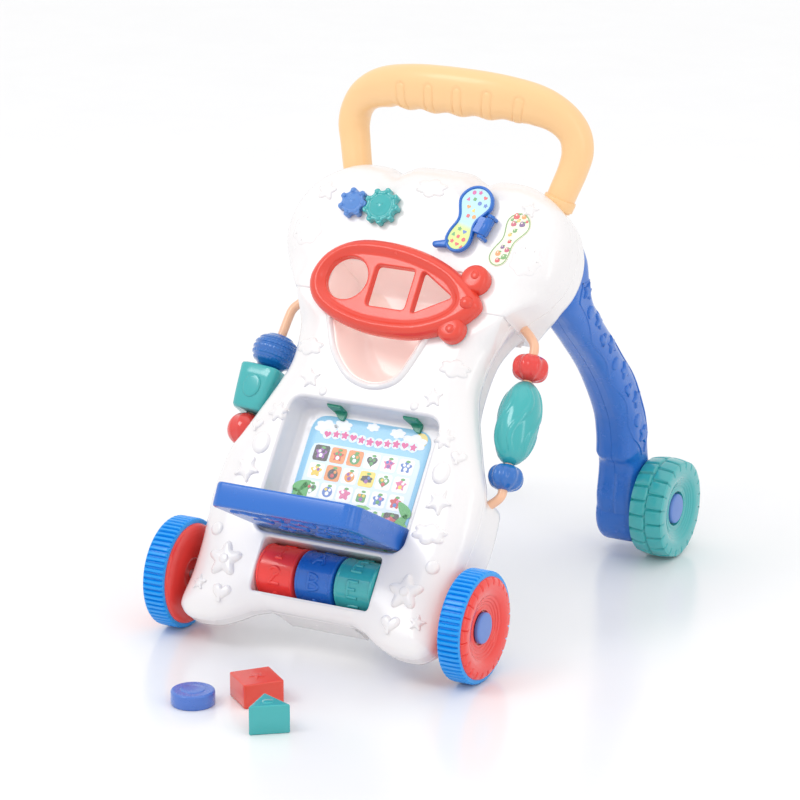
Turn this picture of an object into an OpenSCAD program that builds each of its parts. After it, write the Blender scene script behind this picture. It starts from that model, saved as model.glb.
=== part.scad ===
// Push-along activity walker. Millimetres. Floor is Z = 0, front faces -Y.
// Panel frame used by panel(): X across, Y up the sloping front, Z out of it.

/* [Stance] */
// lean of the front panel above the floor, degrees
lean = 54; // [53.5:0.5:54.5]
// front wheel centre to the middle line
front_x = 150; // [149:1:152]
// front wheel radius
front_r = 50.6; // [50:0.1:51]
// rear wheel centre to the middle line
rear_x = 155.5; // [155:0.5:157]
// rear wheel radius
rear_r = 47.7; // [47:0.1:48]
// front axle to rear axle along the floor
wheelbase = 383; // [382:1:385]

/* [Shell] */
// wall of the moulded shells
wall = 2.6; // [2.2:0.2:3]
// depth of the torso front shell
torso_lip = 22; // [21:1:23]
// depth of the whole torso
torso_deep = 65; // [63:1:68]
// depth of the head front shell
head_lip = 40; // [39:1:41]
// depth of the whole head
head_deep = 76; // [74:1:78]

/* [Cover] */
// angle the cover stands open at rest
cover_open = 98; // [90:1:100]
// length of the cover ahead of its hinge
cover_len = 109.5; // [108:0.5:109.5]
// thickness of the cover
cover_thick = 22; // [20:1:22]

/* [Rollers] */
// radius of the three letter rollers
roller_r = 24.8; // [24:0.2:25]
// width of one roller
roller_w = 38.6; // [37:0.2:39]

/* [Beads] */
// radius of the side rods
rod_r = 4.2; // [4:0.1:4.4]
// clearance between rod and bead bore
rod_gap = 0.06; // [0.03:0.01:0.09]

/* [Blocks] */
// side of the square block
square_side = 37; // [35:0.5:38]
// radius of the round block
round_r = 19.5; // [18:0.5:20]
// side of the three-sided block
tri_side = 36.6; // [35:0.2:37]

/* [Hidden] */
yc = 111.8;
gap = 0.3;
h0 = 61;
axle_r = 4;
bore = axle_r + 0.05;
axle_s = cos(lean) * 0 + sin(lean) * front_r;
axle_p = cos(lean) * front_r - h0;
hinge_s = 100.9;
hinge_p = -11;
roll_s = 55;
roll_p = -22;
flip_turn = 14;
flip_p = 9.5;
gear_s = 402;
gear_mod = 0.92;
blue_n = 7;
teal_n = 9;
rod_p = -40;

white = [0.97, 0.96, 0.96];
coral = [0.90, 0.30, 0.25];
teal = [0.25, 0.68, 0.65];
blue = [0.16, 0.38, 0.72];
peach = [0.98, 0.76, 0.55];
steel = [0.70, 0.71, 0.73];

module panel() {
  translate([0, -yc - h0 * sin(lean), h0 * cos(lean)]) rotate([lean, 0, 0]) children();
}
module ground() { translate([0, -yc, 0]) children(); }
module slab(lo, hi) { translate([0, 0, lo]) linear_extrude(hi - lo) children(); }
module bar(p, q, r) {
  d = q - p;
  translate(p) rotate([0, acos(d[2] / norm(d)), atan2(d[1], d[0])]) cylinder(r = r, h = norm(d));
}

// closed outline from its right half, and the same outline moved in by t
function both(h) = concat(h, [for (i = [len(h) - 1:-1:0]) [-h[i][0], h[i][1]]]);
function unit(v) = v / norm(v);
function side(a, b) = let (u = unit(b - a)) [-u[1], u[0]];
function inset(p, t) = let (n = len(p)) [for (i = [0:n - 1])
  let (a = side(p[(i + n - 1) % n], p[i]), b = side(p[i], p[(i + 1) % n]), m = a + b)
    p[i] + m * t * 2 / (m * m)];

torso_half = [[43, 17], [58, 12], [72, 4], [90, -3], [112, -4], [124, 2], [129, 14], [129, 60],
  [131, 92], [133, 115], [132, 140], [129, 160], [122, 176], [112, 200], [101, 228], [95, 250],
  [96, 275], [101, 298], [106, 318]];
core_half = [[43, 24], [58, 20], [72, 16], [90, 13.5], [112, 13.5], [124, 17], [129, 26], [129, 60],
  [131, 92], [133, 115], [132, 140], [129, 154], [118, 161], [104, 170], [92, 200], [86, 230],
  [84, 255], [86, 285], [94, 305], [104, 318]];
head_half = [[106, 318.4], [117, 329], [130, 343], [140, 362], [143, 383], [139, 405], [127, 426],
  [108, 441], [85, 450], [58, 450.5], [45, 447], [36, 450], [22, 455]];
torso_line = both(torso_half);
core_line = both(core_half);
head_line = both(head_half);
cup_line = [[-9, 236], [8, 237], [22, 246], [31, 268], [36, 288], [60, 300], [60, 352],
  [-76, 352], [-76, 300], [-60, 288], [-46, 262], [-27, 243]];
leg_line = [[212, 290], [236, 259], [266, 231], [299, 199], [322, 170], [340, 141], [347, 118],
  [350, 95], [354, 76], [356, 46], [372, 22], [398, 22], [412, 46], [400, 76], [394, 92],
  [390, 124], [379, 155], [359, 186], [334, 212], [305, 242], [272, 276], [262, 299],
  [255, 325], [235, 349], [222, 336]];

// ---- shells ------------------------------------------------------------
module cup_cut() { slab(-60, 4) polygon(inset(cup_line, -gap)); }
rod_run = [[-22.4, 93.9], [-5.5, 79.8], [0, 68], [0, -68], [-2.5, -73.4], [-13.2, -82.4]];
module rod_path(r) {
  translate([131, 234, rod_p]) rotate([0, 0, 4]) {
    for (i = [0:4]) bar([each rod_run[i], 0], [each rod_run[i + 1], 0], r);
    for (i = [1:4]) translate(rod_run[i]) sphere(r + 0.15);
  }
}
module rods(r) { panel() { rod_path(r); mirror([1, 0, 0]) rod_path(r); } }
module leg_shape(grow) {
  translate([94 - grow, 0, 0]) rotate([90, 0, 90]) linear_extrude(43 + 2 * grow)
    polygon(inset(leg_line, -grow));
}
module legs_cut() { ground() { leg_shape(gap); mirror([1, 0, 0]) leg_shape(gap); } }
module grip_feet() {
  ground() for (x = [-1, 1]) bar([x * 97, 245, 348], [x * 107, 255, 380], 13.6);
}
screw_spots = [[100, 30], [-100, 30], [104, 120], [-104, 120], [66, 240], [-74, 240]];
head_spots = [[80, 345], [-80, 345], [70, 436], [-70, 436]];

module torso_front() color(white) difference() {
  panel() difference() {
    union() {
      slab(-torso_lip, 0) polygon(torso_line);
      slab(0, 3) difference() {
        polygon([[-9, 231], [11, 232], [27, 243], [36, 266], [40, 284], [-62, 284], [-51, 259],
          [-30, 238]]);
        polygon(inset(cup_line, -gap));
      }
    }
    slab(-torso_lip - 1, -wall) polygon(inset(torso_line, wall));
    translate([-76.3, 84.9, -30]) cube([152.6, 128.9, 40]);
    translate([-60, 29, -10]) cube([120, 51, 20]);
    translate([-65, 26.9, -60]) cube([130, 56.2, 60 - wall]);
    cup_cut();
  }
}
module torso_rear() color(white) difference() {
  union() {
    panel() {
      difference() {
        slab(-torso_deep, -torso_lip - gap) polygon(core_line);
        slab(-torso_deep + wall, 0) polygon(inset(core_line, wall));
        translate([-38, 92, -torso_deep - 1]) cube([76, 96, 10]);
      }
      slab(-torso_lip - gap - 2, -torso_lip - gap) difference() {
        polygon(torso_line);
        polygon(inset(core_line, 1));
        translate([-77, 84]) square([154, 132]);
      }
    }
  }
  rods(rod_r + 0.2);
  panel() cup_cut();
  panel() {
    for (x = [-1, 1]) translate([x * 110, axle_s, axle_p]) rotate([0, 90, 0])
      cylinder(r = axle_r + 0.5, h = 60, center = true);
    for (s = screw_spots) translate([s[0], s[1], -torso_deep - 1]) cylinder(r = 1.7, h = 8);
  }
}
module head_front() color(white) difference() {
  panel() difference() {
    slab(-head_lip, 1) polygon(head_line);
    slab(-head_lip - 1, 1 - wall) polygon(inset(head_line, wall));
    cup_cut();
    for (g = [[-71, gear_s], [-41.5, gear_s]])
      translate([g[0], g[1], -5]) cylinder(r = 2.2, h = 20);
  }
  rods(rod_r + 0.2);
  legs_cut();
  grip_feet();
}
module head_rear() color(white) difference() {
  panel() difference() {
    slab(-head_deep, -head_lip - gap) polygon(head_line);
    slab(-head_deep + wall, 0) polygon(inset(head_line, wall));
    translate([0, 385, -head_deep - 1]) cylinder(r = 30.3, h = 10);
    translate([-72, 352, -head_deep - 1]) cube([8, 22, 10]);
    cup_cut();
    for (s = head_spots) translate([s[0], s[1], -head_deep - 1]) cylinder(r = 1.7, h = 8);
  }
  rods(rod_r + 0.2);
  legs_cut();
  grip_feet();
}

// ---- handle: one moulding, round arms and a taller grip -----------------
hand = [[102, 250, 364, 13, 0], [107, 255, 380, 13.2, 0], [113, 262, 400, 13.6, 0],
  [115.5, 265, 418, 14, 1], [111, 265.5, 437, 14.2, 2], [98, 262, 452, 14.4, 4],
  [76, 257, 460, 14.6, 6], [40, 250, 462.5, 14.8, 7.2], [0, 248, 462.5, 15, 7.6]];
module bead4(q, x, g) {
  for (z = [-1, 1]) translate([x * q[0], q[1], q[2] + z * q[4]]) sphere(r = q[3] + g, $fn = 24);
}
module handle_solid(g) {
  ground() for (x = [-1, 1]) for (i = [0:len(hand) - 2]) hull() {
    bead4(hand[i], x, g);
    bead4(hand[i + 1], x, g);
  }
}
module handle() color(peach) handle_solid(0);

// ---- shape sorter and chute ---------------------------------------------
module chute_cup() color([0.99, 0.87, 0.80]) panel() difference() {
  slab(-44, 0) polygon(cup_line);
  slab(-41.6, 1) polygon(inset(cup_line, 2.4));
}
fish = [[8, 279.5], [30, 281.5], [52, 289], [72, 301], [84, 314], [86, 322], [80, 331], [70, 340],
  [52, 351], [30, 360], [5, 366], [-20, 368.5], [-45, 367.5], [-65, 361], [-80, 349], [-88, 333],
  [-88, 318], [-80, 304], [-64, 293], [-42, 285], [-18, 280.5]];
fish_in = [[6, 289], [30, 292], [50, 300], [63, 311], [65, 324], [52, 340], [30, 350], [0, 357],
  [-30, 359], [-55, 356], [-70, 347], [-78, 333], [-77, 318], [-68, 305], [-50, 296], [-25, 290]];
tri_hole = [[21.4, 303.2], [57.8, 324.4], [21.4, 345.6]];
module sorter_panel() color(coral) panel() difference() {
  union() {
    slab(gap + 1, 16) polygon(fish);
    translate([73, 345, gap + 1]) cylinder(r = 13.5, h = 13);
    translate([64, 296, gap + 1]) cylinder(r = 13, h = 13);
    translate([75, 320, 14]) sphere(6);
  }
  slab(10.5, 30) polygon(fish_in);
  slab(0, 7.5) polygon(inset(fish, 4));
  translate([-52, 328.5, 0]) cylinder(r = 21, h = 30);
  translate([-25.8, 305.4, 0]) cube([39.6, 39.8, 30]);
  slab(0, 30) polygon(tri_hole);
}

// ---- picture board under the cover ---------------------------------------
module board_well() color(white) panel() difference() {
  translate([-76, 85.2, -28.6]) cube([152, 128.3, 29.4]);
  translate([-73.6, 87.6, -26]) cube([147.2, 123.5, 40]);
  translate([-85, hinge_s, hinge_p]) rotate([0, 90, 0]) cylinder(r = 2.05, h = 170);
}
module picture_card() color([0.62, 0.85, 0.97]) panel() slab(-25.95, -25.1) difference() {
  translate([-61, 92]) square([122, 115]);
  for (x = [-1, 1]) translate([x * 61, 207]) rotate(x > 0 ? 180 : -90) difference() {
    square(12);
    translate([12, 12]) circle(12);
  }
}
module cover_catches() color([0.1, 0.45, 0.35]) panel() for (x = [-40, 40])
  translate([x - 6, 207.4, -25.9]) cube([12, 3.5, 3.4]);
module cover() color(blue) panel() translate([0, hinge_s, hinge_p]) rotate([cover_open, 0, 0])
  difference() {
    union() {
      translate([-72.5, 0, -cover_thick / 2]) cube([145, cover_len, cover_thick]);
      rotate([0, 90, 0]) cylinder(r = cover_thick / 2, h = 145, center = true);
    }
    translate([-69, 14, -cover_thick / 2 - 1]) cube([138, cover_len - 17.5, cover_thick - 2.2]);
    rotate([0, 90, 0]) cylinder(r = 2.05, h = 160, center = true);
  }
module cover_pin() color(steel) panel() translate([0, hinge_s, hinge_p]) rotate([0, 90, 0])
  cylinder(r = 2, h = 150.6, center = true);

// ---- letter rollers ---------------------------------------------------------
module roller_well() color([0.93, 0.92, 0.92]) panel() difference() {
  translate([-64.6, 27.2, -54]) cube([129.2, 55.6, 54 - wall - gap]);
  translate([-62.4, 29.4, -51.8]) cube([124.8, 51.2, 60]);
  translate([0, roll_s, roll_p]) rotate([0, 90, 0]) cylinder(r = 3.02, h = 140, center = true);
}
module roller_axle() color(steel) panel() translate([0, roll_s, roll_p]) rotate([0, 90, 0])
  cylinder(r = 3, h = 128.8, center = true);
module roller(i, c) color(c) panel() translate([i * 40, roll_s, roll_p]) rotate([0, 90, 0])
  difference() {
    cylinder(r = roller_r, h = roller_w, center = true);
    cylinder(r = 3.06, h = 60, center = true);
    for (z = [-1, 1]) translate([0, 0, z * roller_w / 2]) difference() {
      cylinder(r = 20, h = 14, center = true);
      cylinder(r = 7, h = 14, center = true);
    }
  }
module roller_red() roller(-1, coral);
module roller_blue() roller(0, blue);
module roller_teal() roller(1, teal);

// ---- side rods and beads --------------------------------------------------
module rod_right() color(peach) panel() rod_path(rod_r);
module rod_left() color(peach) panel() mirror([1, 0, 0]) rod_path(rod_r);
module on_rod(x, s) {
  panel() mirror([x < 0 ? 1 : 0, 0, 0]) translate([131, 234, rod_p]) rotate([0, 0, 4])
    translate([0, s - 234, 0]) rotate([-90, 0, 0]) difference() {
      children();
      cylinder(r = rod_r + rod_gap, h = 120, center = true);
    }
}
module bead_ribbed() color(blue) on_rod(-1, 264.5) rotate_extrude() difference() {
  intersection() { circle(r = 19.2); translate([0, -15]) square([20, 30]); }
  for (i = [-2:2]) translate([20.2 - abs(i) * abs(i) * 0.55, i * 5]) circle(0.9);
}
module bead_block() color(teal) on_rod(-1, 226.5) for (a = [0:5]) rotate([0, 0, a * 15])
  intersection() {
    rotate([0, 0, -a * 15 + 45 * (a % 2)]) translate([0, 0, -21.8])
      cylinder(r1 = 18.5, r2 = 25, h = 43.6, $fn = 4);
    translate([0, 0, -21.8]) cylinder(r1 = 14.8, r2 = 20.5, h = 43.6);
  }
module bead_round() color(coral) on_rod(-1, 189) rotate_extrude()
  polygon([[0, -14.5], [7, -14.5], [11, -11], [14, -5], [15, 1], [14.6, 7], [12.5, 12],
    [10, 14.5], [0, 14.5]]);
module bead_lobed() color(coral) on_rod(1, 285.5) rotate_extrude()
  intersection() { scale(1) circle(17.2); translate([0, -12.5]) square([20, 25]); }
module bead_barrel() color(teal) on_rod(1, 233) rotate_extrude()
  polygon([[0, -39], [11, -39], [14, -36], [17.3, -27], [19.4, -15], [20.3, 0], [19.4, 15],
    [17.3, 27], [14, 36], [11, 39], [0, 39]]);
module bead_small() color(blue) on_rod(1, 181.3) rotate_extrude()
  intersection() { circle(16.4); translate([0, -12]) square([20, 24]); }

// ---- gears: cycloid teeth that roll on each other --------------------------
function lobe(n, q, k, t, s) = let (r = 2 * n * q + s * q * 0)
  s > 0 ? [(r + q) * cos(t) - q * cos((r + q) / q * (t - k)) * 1 * cos(k) +
           q * sin((r + q) / q * (t - k)) * sin(k),
           (r + q) * sin(t) - q * cos((r + q) / q * (t - k)) * sin(k) -
           q * sin((r + q) / q * (t - k)) * cos(k)]
        : [(r - q) * cos(t) + q * cos((r - q) / q * (t - k)) * cos(k) +
           q * sin((r - q) / q * (t - k)) * sin(k),
           (r - q) * sin(t) + q * cos((r - q) / q * (t - k)) * sin(k) -
           q * sin((r - q) / q * (t - k)) * cos(k)];
function gear_line(n, q) = [for (i = [0:2 * n - 1]) for (j = [0:4])
  lobe(n, q, i * 180 / n, (i + j / 5) * 180 / n, i % 2 == 0 ? 1 : -1)];
module gear(n, x, turn, c) color(c) panel() translate([x, gear_s, 1.6]) rotate([0, 0, turn])
  difference() {
    union() {
      linear_extrude(8) polygon(inset(gear_line(n, gear_mod), 0.18));
      translate([0, 0, 7]) intersection() {
        translate([0, 0, -14]) sphere(r = n * gear_mod * 0.4 + 14.6);
        cylinder(r = n * gear_mod * 1.1, h = 4);
      }
    }
    translate([0, 0, -1]) cylinder(r = 2.05, h = 7);
  }
module gear_blue() gear(blue_n, -71, -90 / blue_n, [0.33, 0.55, 0.85]);
module gear_teal() gear(teal_n, -71 + 2 * gear_mod * (blue_n + teal_n), 180 + 90 / teal_n, teal);
module gear_posts() color(steel) panel() for (x = [-71, -71 + 2 * gear_mod * (blue_n + teal_n)])
  translate([x, gear_s, -9]) {
    cylinder(r = 2, h = 16);
    cylinder(r = 5, h = 7);
  }

// ---- flip page ------------------------------------------------------------
module flip_frame() {
  panel() translate([69.2, 395, flip_p]) rotate([0, 0, -flip_turn]) children();
}
module peanut(up, low, half) {
  translate([0, half]) circle(up);
  translate([0, -half]) circle(low);
  polygon([[-up * 0.8, half - 6], [-low * 0.62, 0], [-low * 0.85, -half + 5],
    [low * 0.85, -half + 5], [low * 0.62, 0], [up * 0.8, half - 6]]);
}
module flip_page() color(blue) flip_frame() difference() {
  union() {
    translate([-21.5, 3, -5]) linear_extrude(5) rotate(3) peanut(16, 12.5, 18.5);
    translate([-34, -24, -5]) rotate(-25) cube([9, 5.5, 5]);
    translate([-11, -8.4, -5]) cube([8.5, 16.8, 5]);
    rotate([90, 0, 0]) cylinder(r = 4, h = 16.8, center = true);
  }
  rotate([90, 0, 0]) cylinder(r = 1.55, h = 40, center = true);
  translate([-21.5, 3, -1.4]) linear_extrude(5) rotate(3) peanut(13.4, 10, 18.5);
}
module flip_pin() color(steel) flip_frame() rotate([90, 0, 0])
  cylinder(r = 1.5, h = 24, center = true);
module flip_hinge() color(blue) flip_frame() difference() {
  for (y = [-11.9, 8.9]) translate([-3.5, y, -8.3]) cube([7, 3, 11.8]);
  rotate([90, 0, 0]) cylinder(r = 1.5, h = 40, center = true);
}
module fruit_sticker() color(white) flip_frame() translate([22.5, -2, -8.35])
  linear_extrude(0.5) rotate(-4) peanut(12.6, 9.6, 16.5);

// ---- legs and wheels --------------------------------------------------------
module leg_right() color(blue) ground() difference() {
  union() {
    leg_shape(0);
    translate([94, wheelbase + 1, 38.5]) rotate([0, 90, 0]) cylinder(r = 30, h = 43);
  }
  translate([80, wheelbase, rear_r]) rotate([0, 90, 0]) cylinder(r = axle_r, h = 80);
}
module leg_left() mirror([1, 0, 0]) leg_right();
module leg_screws() color(steel) ground() for (x = [-1, 1]) for (z = [[232, 306], [236, 322]])
  translate([x * 82, z[0], z[1]]) rotate([0, x * 90, 0]) {
    cylinder(r = 1.6, h = 11.6);
    translate([0, 0, -2.4]) cylinder(r = 3.4, h = 2.4);
  }
module front_axles() color(steel) ground() for (x = [-1, 1])
  translate([x * 74, 0, front_r]) rotate([0, x * 90, 0]) {
    cylinder(r = axle_r, h = front_x - 74 + 9);
    translate([0, 0, -3]) cylinder(r = 6, h = 3);
  }
module axle_blocks() color(white) ground() for (x = [-118, -82, 82, 118])
  translate([x, 0, front_r]) rotate([lean, 0, 0]) difference() {
    translate([-4, -13, -31.1]) cube([8, 26, 51.1]);
    rotate([0, 90, 0]) cylinder(r = axle_r, h = 20, center = true);
  }
module rear_axles() color(steel) ground() for (x = [-1, 1])
  translate([x * 96, wheelbase, rear_r]) rotate([0, x * 90, 0])
    cylinder(r = axle_r, h = rear_x - 96 + 9);
module at_front(x) {
  ground() translate([x * front_x, 0, front_r]) rotate([0, x * 90, 0]) children();
}
module at_rear(x) {
  ground() translate([x * rear_x, wheelbase, rear_r]) rotate([0, x * 90, 0]) children();
}
module tyre(x) color([0.20, 0.58, 0.94]) at_front(x) rotate_extrude()
  polygon([[46.2, -10.6], [49.8, -10.6], [front_r, -9.4], [front_r, 9.4], [49.8, 10.6],
    [46.2, 10.6]]);
module hub(x) color(coral) at_front(x) difference() {
  rotate_extrude() polygon([[0, -11], [12, -11], [14, -13.4], [30, -13.4], [40, -14.3],
    [44.5, -13.2], [46.1, -11], [46.1, 11], [44.5, 13.2], [40, 14.3], [32, 13.9], [28, 12.6],
    [19, 11.6], [0, 11.6]]);
  cylinder(r = bore, h = 60, center = true);
  translate([0, 0, 4]) cylinder(r = 14, h = 20);
}
module cap(c) color(c) difference() {
  rotate_extrude() polygon([[0, 10], [13.9, 10], [13.9, 11.8], [16, 11.8], [15.6, 13.2],
    [9, 13.9], [0, 14]]);
}
module tyre_left() tyre(-1);
module tyre_right() tyre(1);
module hub_left() hub(-1);
module hub_right() hub(1);
module cap_left() at_front(-1) cap([0.37, 0.53, 0.84]);
module cap_right() at_front(1) cap([0.37, 0.53, 0.84]);
module rear_wheel(x) color(teal) at_rear(x) difference() {
  rotate_extrude() polygon([[0, -15], [20, -15], [26, -17.1], [39, -17.1], [44.5, -15],
    [rear_r, -10], [rear_r, 10], [44.5, 15], [39, 17.1], [27, 17.1], [22, 15], [16.3, 11.6],
    [0, 11.6]]);
  cylinder(r = bore, h = 60, center = true);
  translate([0, 0, 4]) cylinder(r = 14, h = 20);
}
module rear_wheel_left() rear_wheel(-1);
module rear_wheel_right() rear_wheel(1);
module rear_cap_left() at_rear(-1) cap([0.37, 0.53, 0.84]);
module rear_cap_right() at_rear(1) cap([0.37, 0.53, 0.84]);

// ---- inside and back ---------------------------------------------------------
module battery_door() color([0.9, 0.9, 0.9]) panel()
  translate([-37.7, 92.3, -torso_deep - 0.2]) cube([75.4, 95.4, 2.6]);
module batteries() color([0.25, 0.5, 0.3]) panel() for (x = [-20, 0, 20])
  translate([x, 112, -torso_deep + 13]) rotate([-90, 0, 0]) {
    cylinder(r = 7.1, h = 49);
    translate([0, 0, 49]) cylinder(r = 2.6, h = 1.4);
  }
module circuit_board() color([0.1, 0.45, 0.25]) panel() difference() {
  translate([-62, 366, -32]) cube([80, 56, 1.6]);
  for (x = [-58, 14]) for (s = [370, 418]) translate([x, s, -40]) cylinder(r = 1.6, h = 20);
}
module speaker() color([0.2, 0.2, 0.22]) panel() translate([0, 385, -head_deep + 3.2])
  rotate_extrude() polygon([[0, 4], [20, 4], [28, 0], [28, 2], [21, 8], [14, 10], [14, 18], [0, 18]]);
module speaker_grille() color([0.9, 0.9, 0.9]) panel() translate([0, 385, -head_deep - 0.6])
  difference() {
    cylinder(r = 30, h = 3);
    for (k = [1:3]) for (i = [0:6 * k - 1]) rotate([0, 0, i * 60 / k])
      translate([k * 7.5, 0, -1]) cylinder(r = 1.8, h = 6);
    translate([0, 0, -1]) cylinder(r = 1.8, h = 6);
  }
module power_switch() color(coral) panel() translate([-71.6, 352.5, -head_deep - 2.5]) {
  cube([7.2, 12, 5]);
  translate([-2.4, -5, 5.4]) cube([12, 30, 2]);
  translate([1.2, 2, 4]) cube([4.8, 8, 2]);
}
module shell_screws() color(steel) panel() {
  for (s = screw_spots) translate([s[0], s[1], -torso_deep - 1.6]) {
    cylinder(r = 3.2, h = 1.6);
    cylinder(r = 1.5, h = 14);
  }
  for (s = head_spots) translate([s[0], s[1], -head_deep - 1.6]) {
    cylinder(r = 3.2, h = 1.6);
    cylinder(r = 1.5, h = 14);
  }
}

// ---- loose blocks -------------------------------------------------------------
module block_round() color(blue) ground() translate([-38.5, -165, 0]) cylinder(r = round_r, h = 13);
module block_square() color(coral) ground() translate([5.8, -131, 0]) rotate([0, 0, 51])
  translate([-square_side / 2, -square_side / 2, 0]) cube([square_side, square_side, 22]);
module block_tri() color(teal) ground() translate([49.9, -187.6, 0]) rotate([0, 0, 248])
  linear_extrude(26) polygon([for (i = [0:2]) tri_side / sqrt(3) * [cos(i * 120), sin(i * 120)]]);

torso_front();
torso_rear();
head_front();
head_rear();
handle();
chute_cup();
sorter_panel();
board_well();
picture_card();
cover_catches();
roller_well();
roller_axle();
cover();
cover_pin();
roller_red();
roller_blue();
roller_teal();
rod_left();
rod_right();
bead_ribbed();
bead_block();
bead_round();
bead_lobed();
bead_barrel();
bead_small();
gear_blue();
gear_teal();
gear_posts();
flip_page();
flip_hinge();
flip_pin();
fruit_sticker();
leg_left();
leg_right();
leg_screws();
front_axles();
axle_blocks();
rear_axles();
tyre_left();
hub_left();
cap_left();
tyre_right();
hub_right();
cap_right();
rear_wheel_left();
rear_cap_left();
rear_wheel_right();
rear_cap_right();
battery_door();
batteries();
circuit_board();
speaker();
speaker_grille();
power_switch();
shell_screws();
block_round();
block_square();
block_tri();
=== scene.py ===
"""Looks of a push-along activity walker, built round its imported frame.

Shapes are worked out in millimetres in two sets of axes: the panel's (across, up the slope,
out of it) and the floor's (across, back, up), and turned into metres in the row frame."""
import math

import bmesh
import bpy
import numpy as np
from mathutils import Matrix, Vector
from mathutils.geometry import delaunay_2d_cdt


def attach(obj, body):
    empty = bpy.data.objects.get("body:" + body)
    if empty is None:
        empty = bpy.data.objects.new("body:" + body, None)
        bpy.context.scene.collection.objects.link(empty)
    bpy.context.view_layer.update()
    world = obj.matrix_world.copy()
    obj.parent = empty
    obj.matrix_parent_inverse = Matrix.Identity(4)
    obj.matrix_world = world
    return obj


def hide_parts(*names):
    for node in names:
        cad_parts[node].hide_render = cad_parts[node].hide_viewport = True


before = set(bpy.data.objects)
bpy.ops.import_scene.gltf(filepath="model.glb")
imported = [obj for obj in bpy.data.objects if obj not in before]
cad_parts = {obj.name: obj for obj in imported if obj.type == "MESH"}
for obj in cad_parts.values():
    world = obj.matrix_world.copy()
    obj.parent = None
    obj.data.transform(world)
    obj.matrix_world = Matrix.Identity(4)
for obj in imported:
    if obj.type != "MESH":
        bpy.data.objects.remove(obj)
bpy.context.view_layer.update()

MM = 0.001
LEAN = math.radians(54)
SN, CS = math.sin(LEAN), math.cos(LEAN)
YC, H0 = 111.8, 61.0
TAU = 2 * math.pi
COVER_OPEN = math.radians(98)      # the tray cover's lean from shut, as it stands
ROD_TILT = math.radians(4)         # the bead rods' lean along the waist
LEAF_TILT = math.radians(-14)      # the flip leaf's pin from straight up the slope
ROD_X, ROD_S, ROD_P, ROD_R = 131, 234, -40, 4.2
GEAR_S, ROLLING = 402, 0.92        # the gears' height, and the circle that rolls their teeth
FRONT_LINES, REAR_LINES = 24, 20   # spokes of cuts round a front hub, lugs round a rear wheel


# ---------------------------------------------------------------- places
def panel(x, s, p):
    """Panel axes to the row frame: the panel is turned up by its lean about the floor line."""
    x, s, p = np.broadcast_arrays(np.asarray(x, float), s, p)
    h = p + H0
    return np.stack([x, s * CS - h * SN - YC, s * SN + h * CS], -1) * MM


def ground(x, y, z):
    """Floor axes (front axle at y = 0) to the row frame."""
    x, y, z = np.broadcast_arrays(np.asarray(x, float), y, z)
    return np.stack([x, y - YC, z], -1) * MM


def on_axle(cx, cy, cz, side):
    """Axes of a wheel: along its axle outward, then two across it."""
    def place(a, r, t):
        return ground(cx + side * a, cy + r * np.cos(t), cz + r * np.sin(t))
    return place


# ---------------------------------------------------------------- curves
def smooth(edge0, edge1, x):
    """Cubic step from 0 to 1 between two edges."""
    t = np.clip((x - edge0) / (edge1 - edge0), 0, 1)
    return t * t * (3 - 2 * t)


def resample(path, n, closed=True):
    """n points evenly spaced by length along a path."""
    q = np.vstack([path, path[:1]]) if closed else path
    d = np.r_[0, np.cumsum(np.linalg.norm(np.diff(q, axis=0), axis=1))]
    t = np.linspace(0, d[-1], n, endpoint=not closed)
    return np.stack([np.interp(t, d, q[:, k]) for k in range(q.shape[1])], 1)


def spline(points, n, closed=True, even=True):
    """Catmull-Rom cubic through the points."""
    p = np.asarray(points, float)
    m = len(p)
    if not closed:
        p = np.vstack([2 * p[0] - p[1], p, 2 * p[-1] - p[-2]])
    t = np.linspace(0, m if closed else m - 1, n, endpoint=not closed)
    i = np.minimum(t.astype(int), m - 1 if closed else m - 2)
    f = (t - i)[:, None]
    k = [(p[(i + j - 1) % m] if closed else p[i + j]) for j in range(4)]
    q = 0.5 * (2 * k[1] + (k[2] - k[0]) * f + (2 * k[0] - 5 * k[1] + 4 * k[2] - k[3]) * f ** 2
               + (3 * k[1] - k[0] - 3 * k[2] + k[3]) * f ** 3)
    return resample(q, n, closed) if even else q


def rounded(points, r, n=None, closed=True):
    """Straight-sided outline with each corner turned by a quadratic arc of reach r."""
    p = np.asarray(points, float)
    prev, nxt = np.roll(p, 1, 0), np.roll(p, -1, 0)
    r = np.broadcast_to(np.asarray(r, float), (len(p),))
    u = (prev - p) / np.linalg.norm(prev - p, axis=1)[:, None]
    w = (nxt - p) / np.linalg.norm(nxt - p, axis=1)[:, None]
    t = np.linspace(0, 1, 9)[None, :, None]
    a, b = (p + u * r[:, None])[:, None], (p + w * r[:, None])[:, None]
    q = (1 - t) ** 2 * a + 2 * t * (1 - t) * p[:, None] + t ** 2 * b
    if not closed:
        q = np.concatenate([p[:1], q[1:-1].reshape(-1, p.shape[1]), p[-1:]])
    q = q.reshape(-1, p.shape[1])
    return q if n is None else resample(q, n, closed)


def box_loop(x0, x1, y0, y1, r, n=160):
    """Rectangle between two corners, its own corners turned by reach r."""
    return rounded([(x0, y0), (x1, y0), (x1, y1), (x0, y1)], r, n)


def ring_loop(cx, cy, r, n=96, wave=0, lobes=0, turn=0, ry=None):
    """Circle, ellipse or lobed circle: r + wave cos(lobes a)."""
    a = np.linspace(0, TAU, n, endpoint=False)
    k = r + wave * np.cos(lobes * (a - turn))
    return np.stack([cx + k * np.cos(a), cy + k * (ry or r) / r * np.sin(a)], 1)


def star_loop(cx, cy, r, inner=0.5, points=5, turn=math.pi / 2, n=90):
    """Star: corners at equal angles, every other one at the inner share of r."""
    a = turn + np.arange(2 * points) * math.pi / points
    k = np.where(np.arange(2 * points) % 2 == 0, r, r * inner)
    return rounded(np.stack([cx + k * np.cos(a), cy + k * np.sin(a)], 1), r * 0.12, n)


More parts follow.
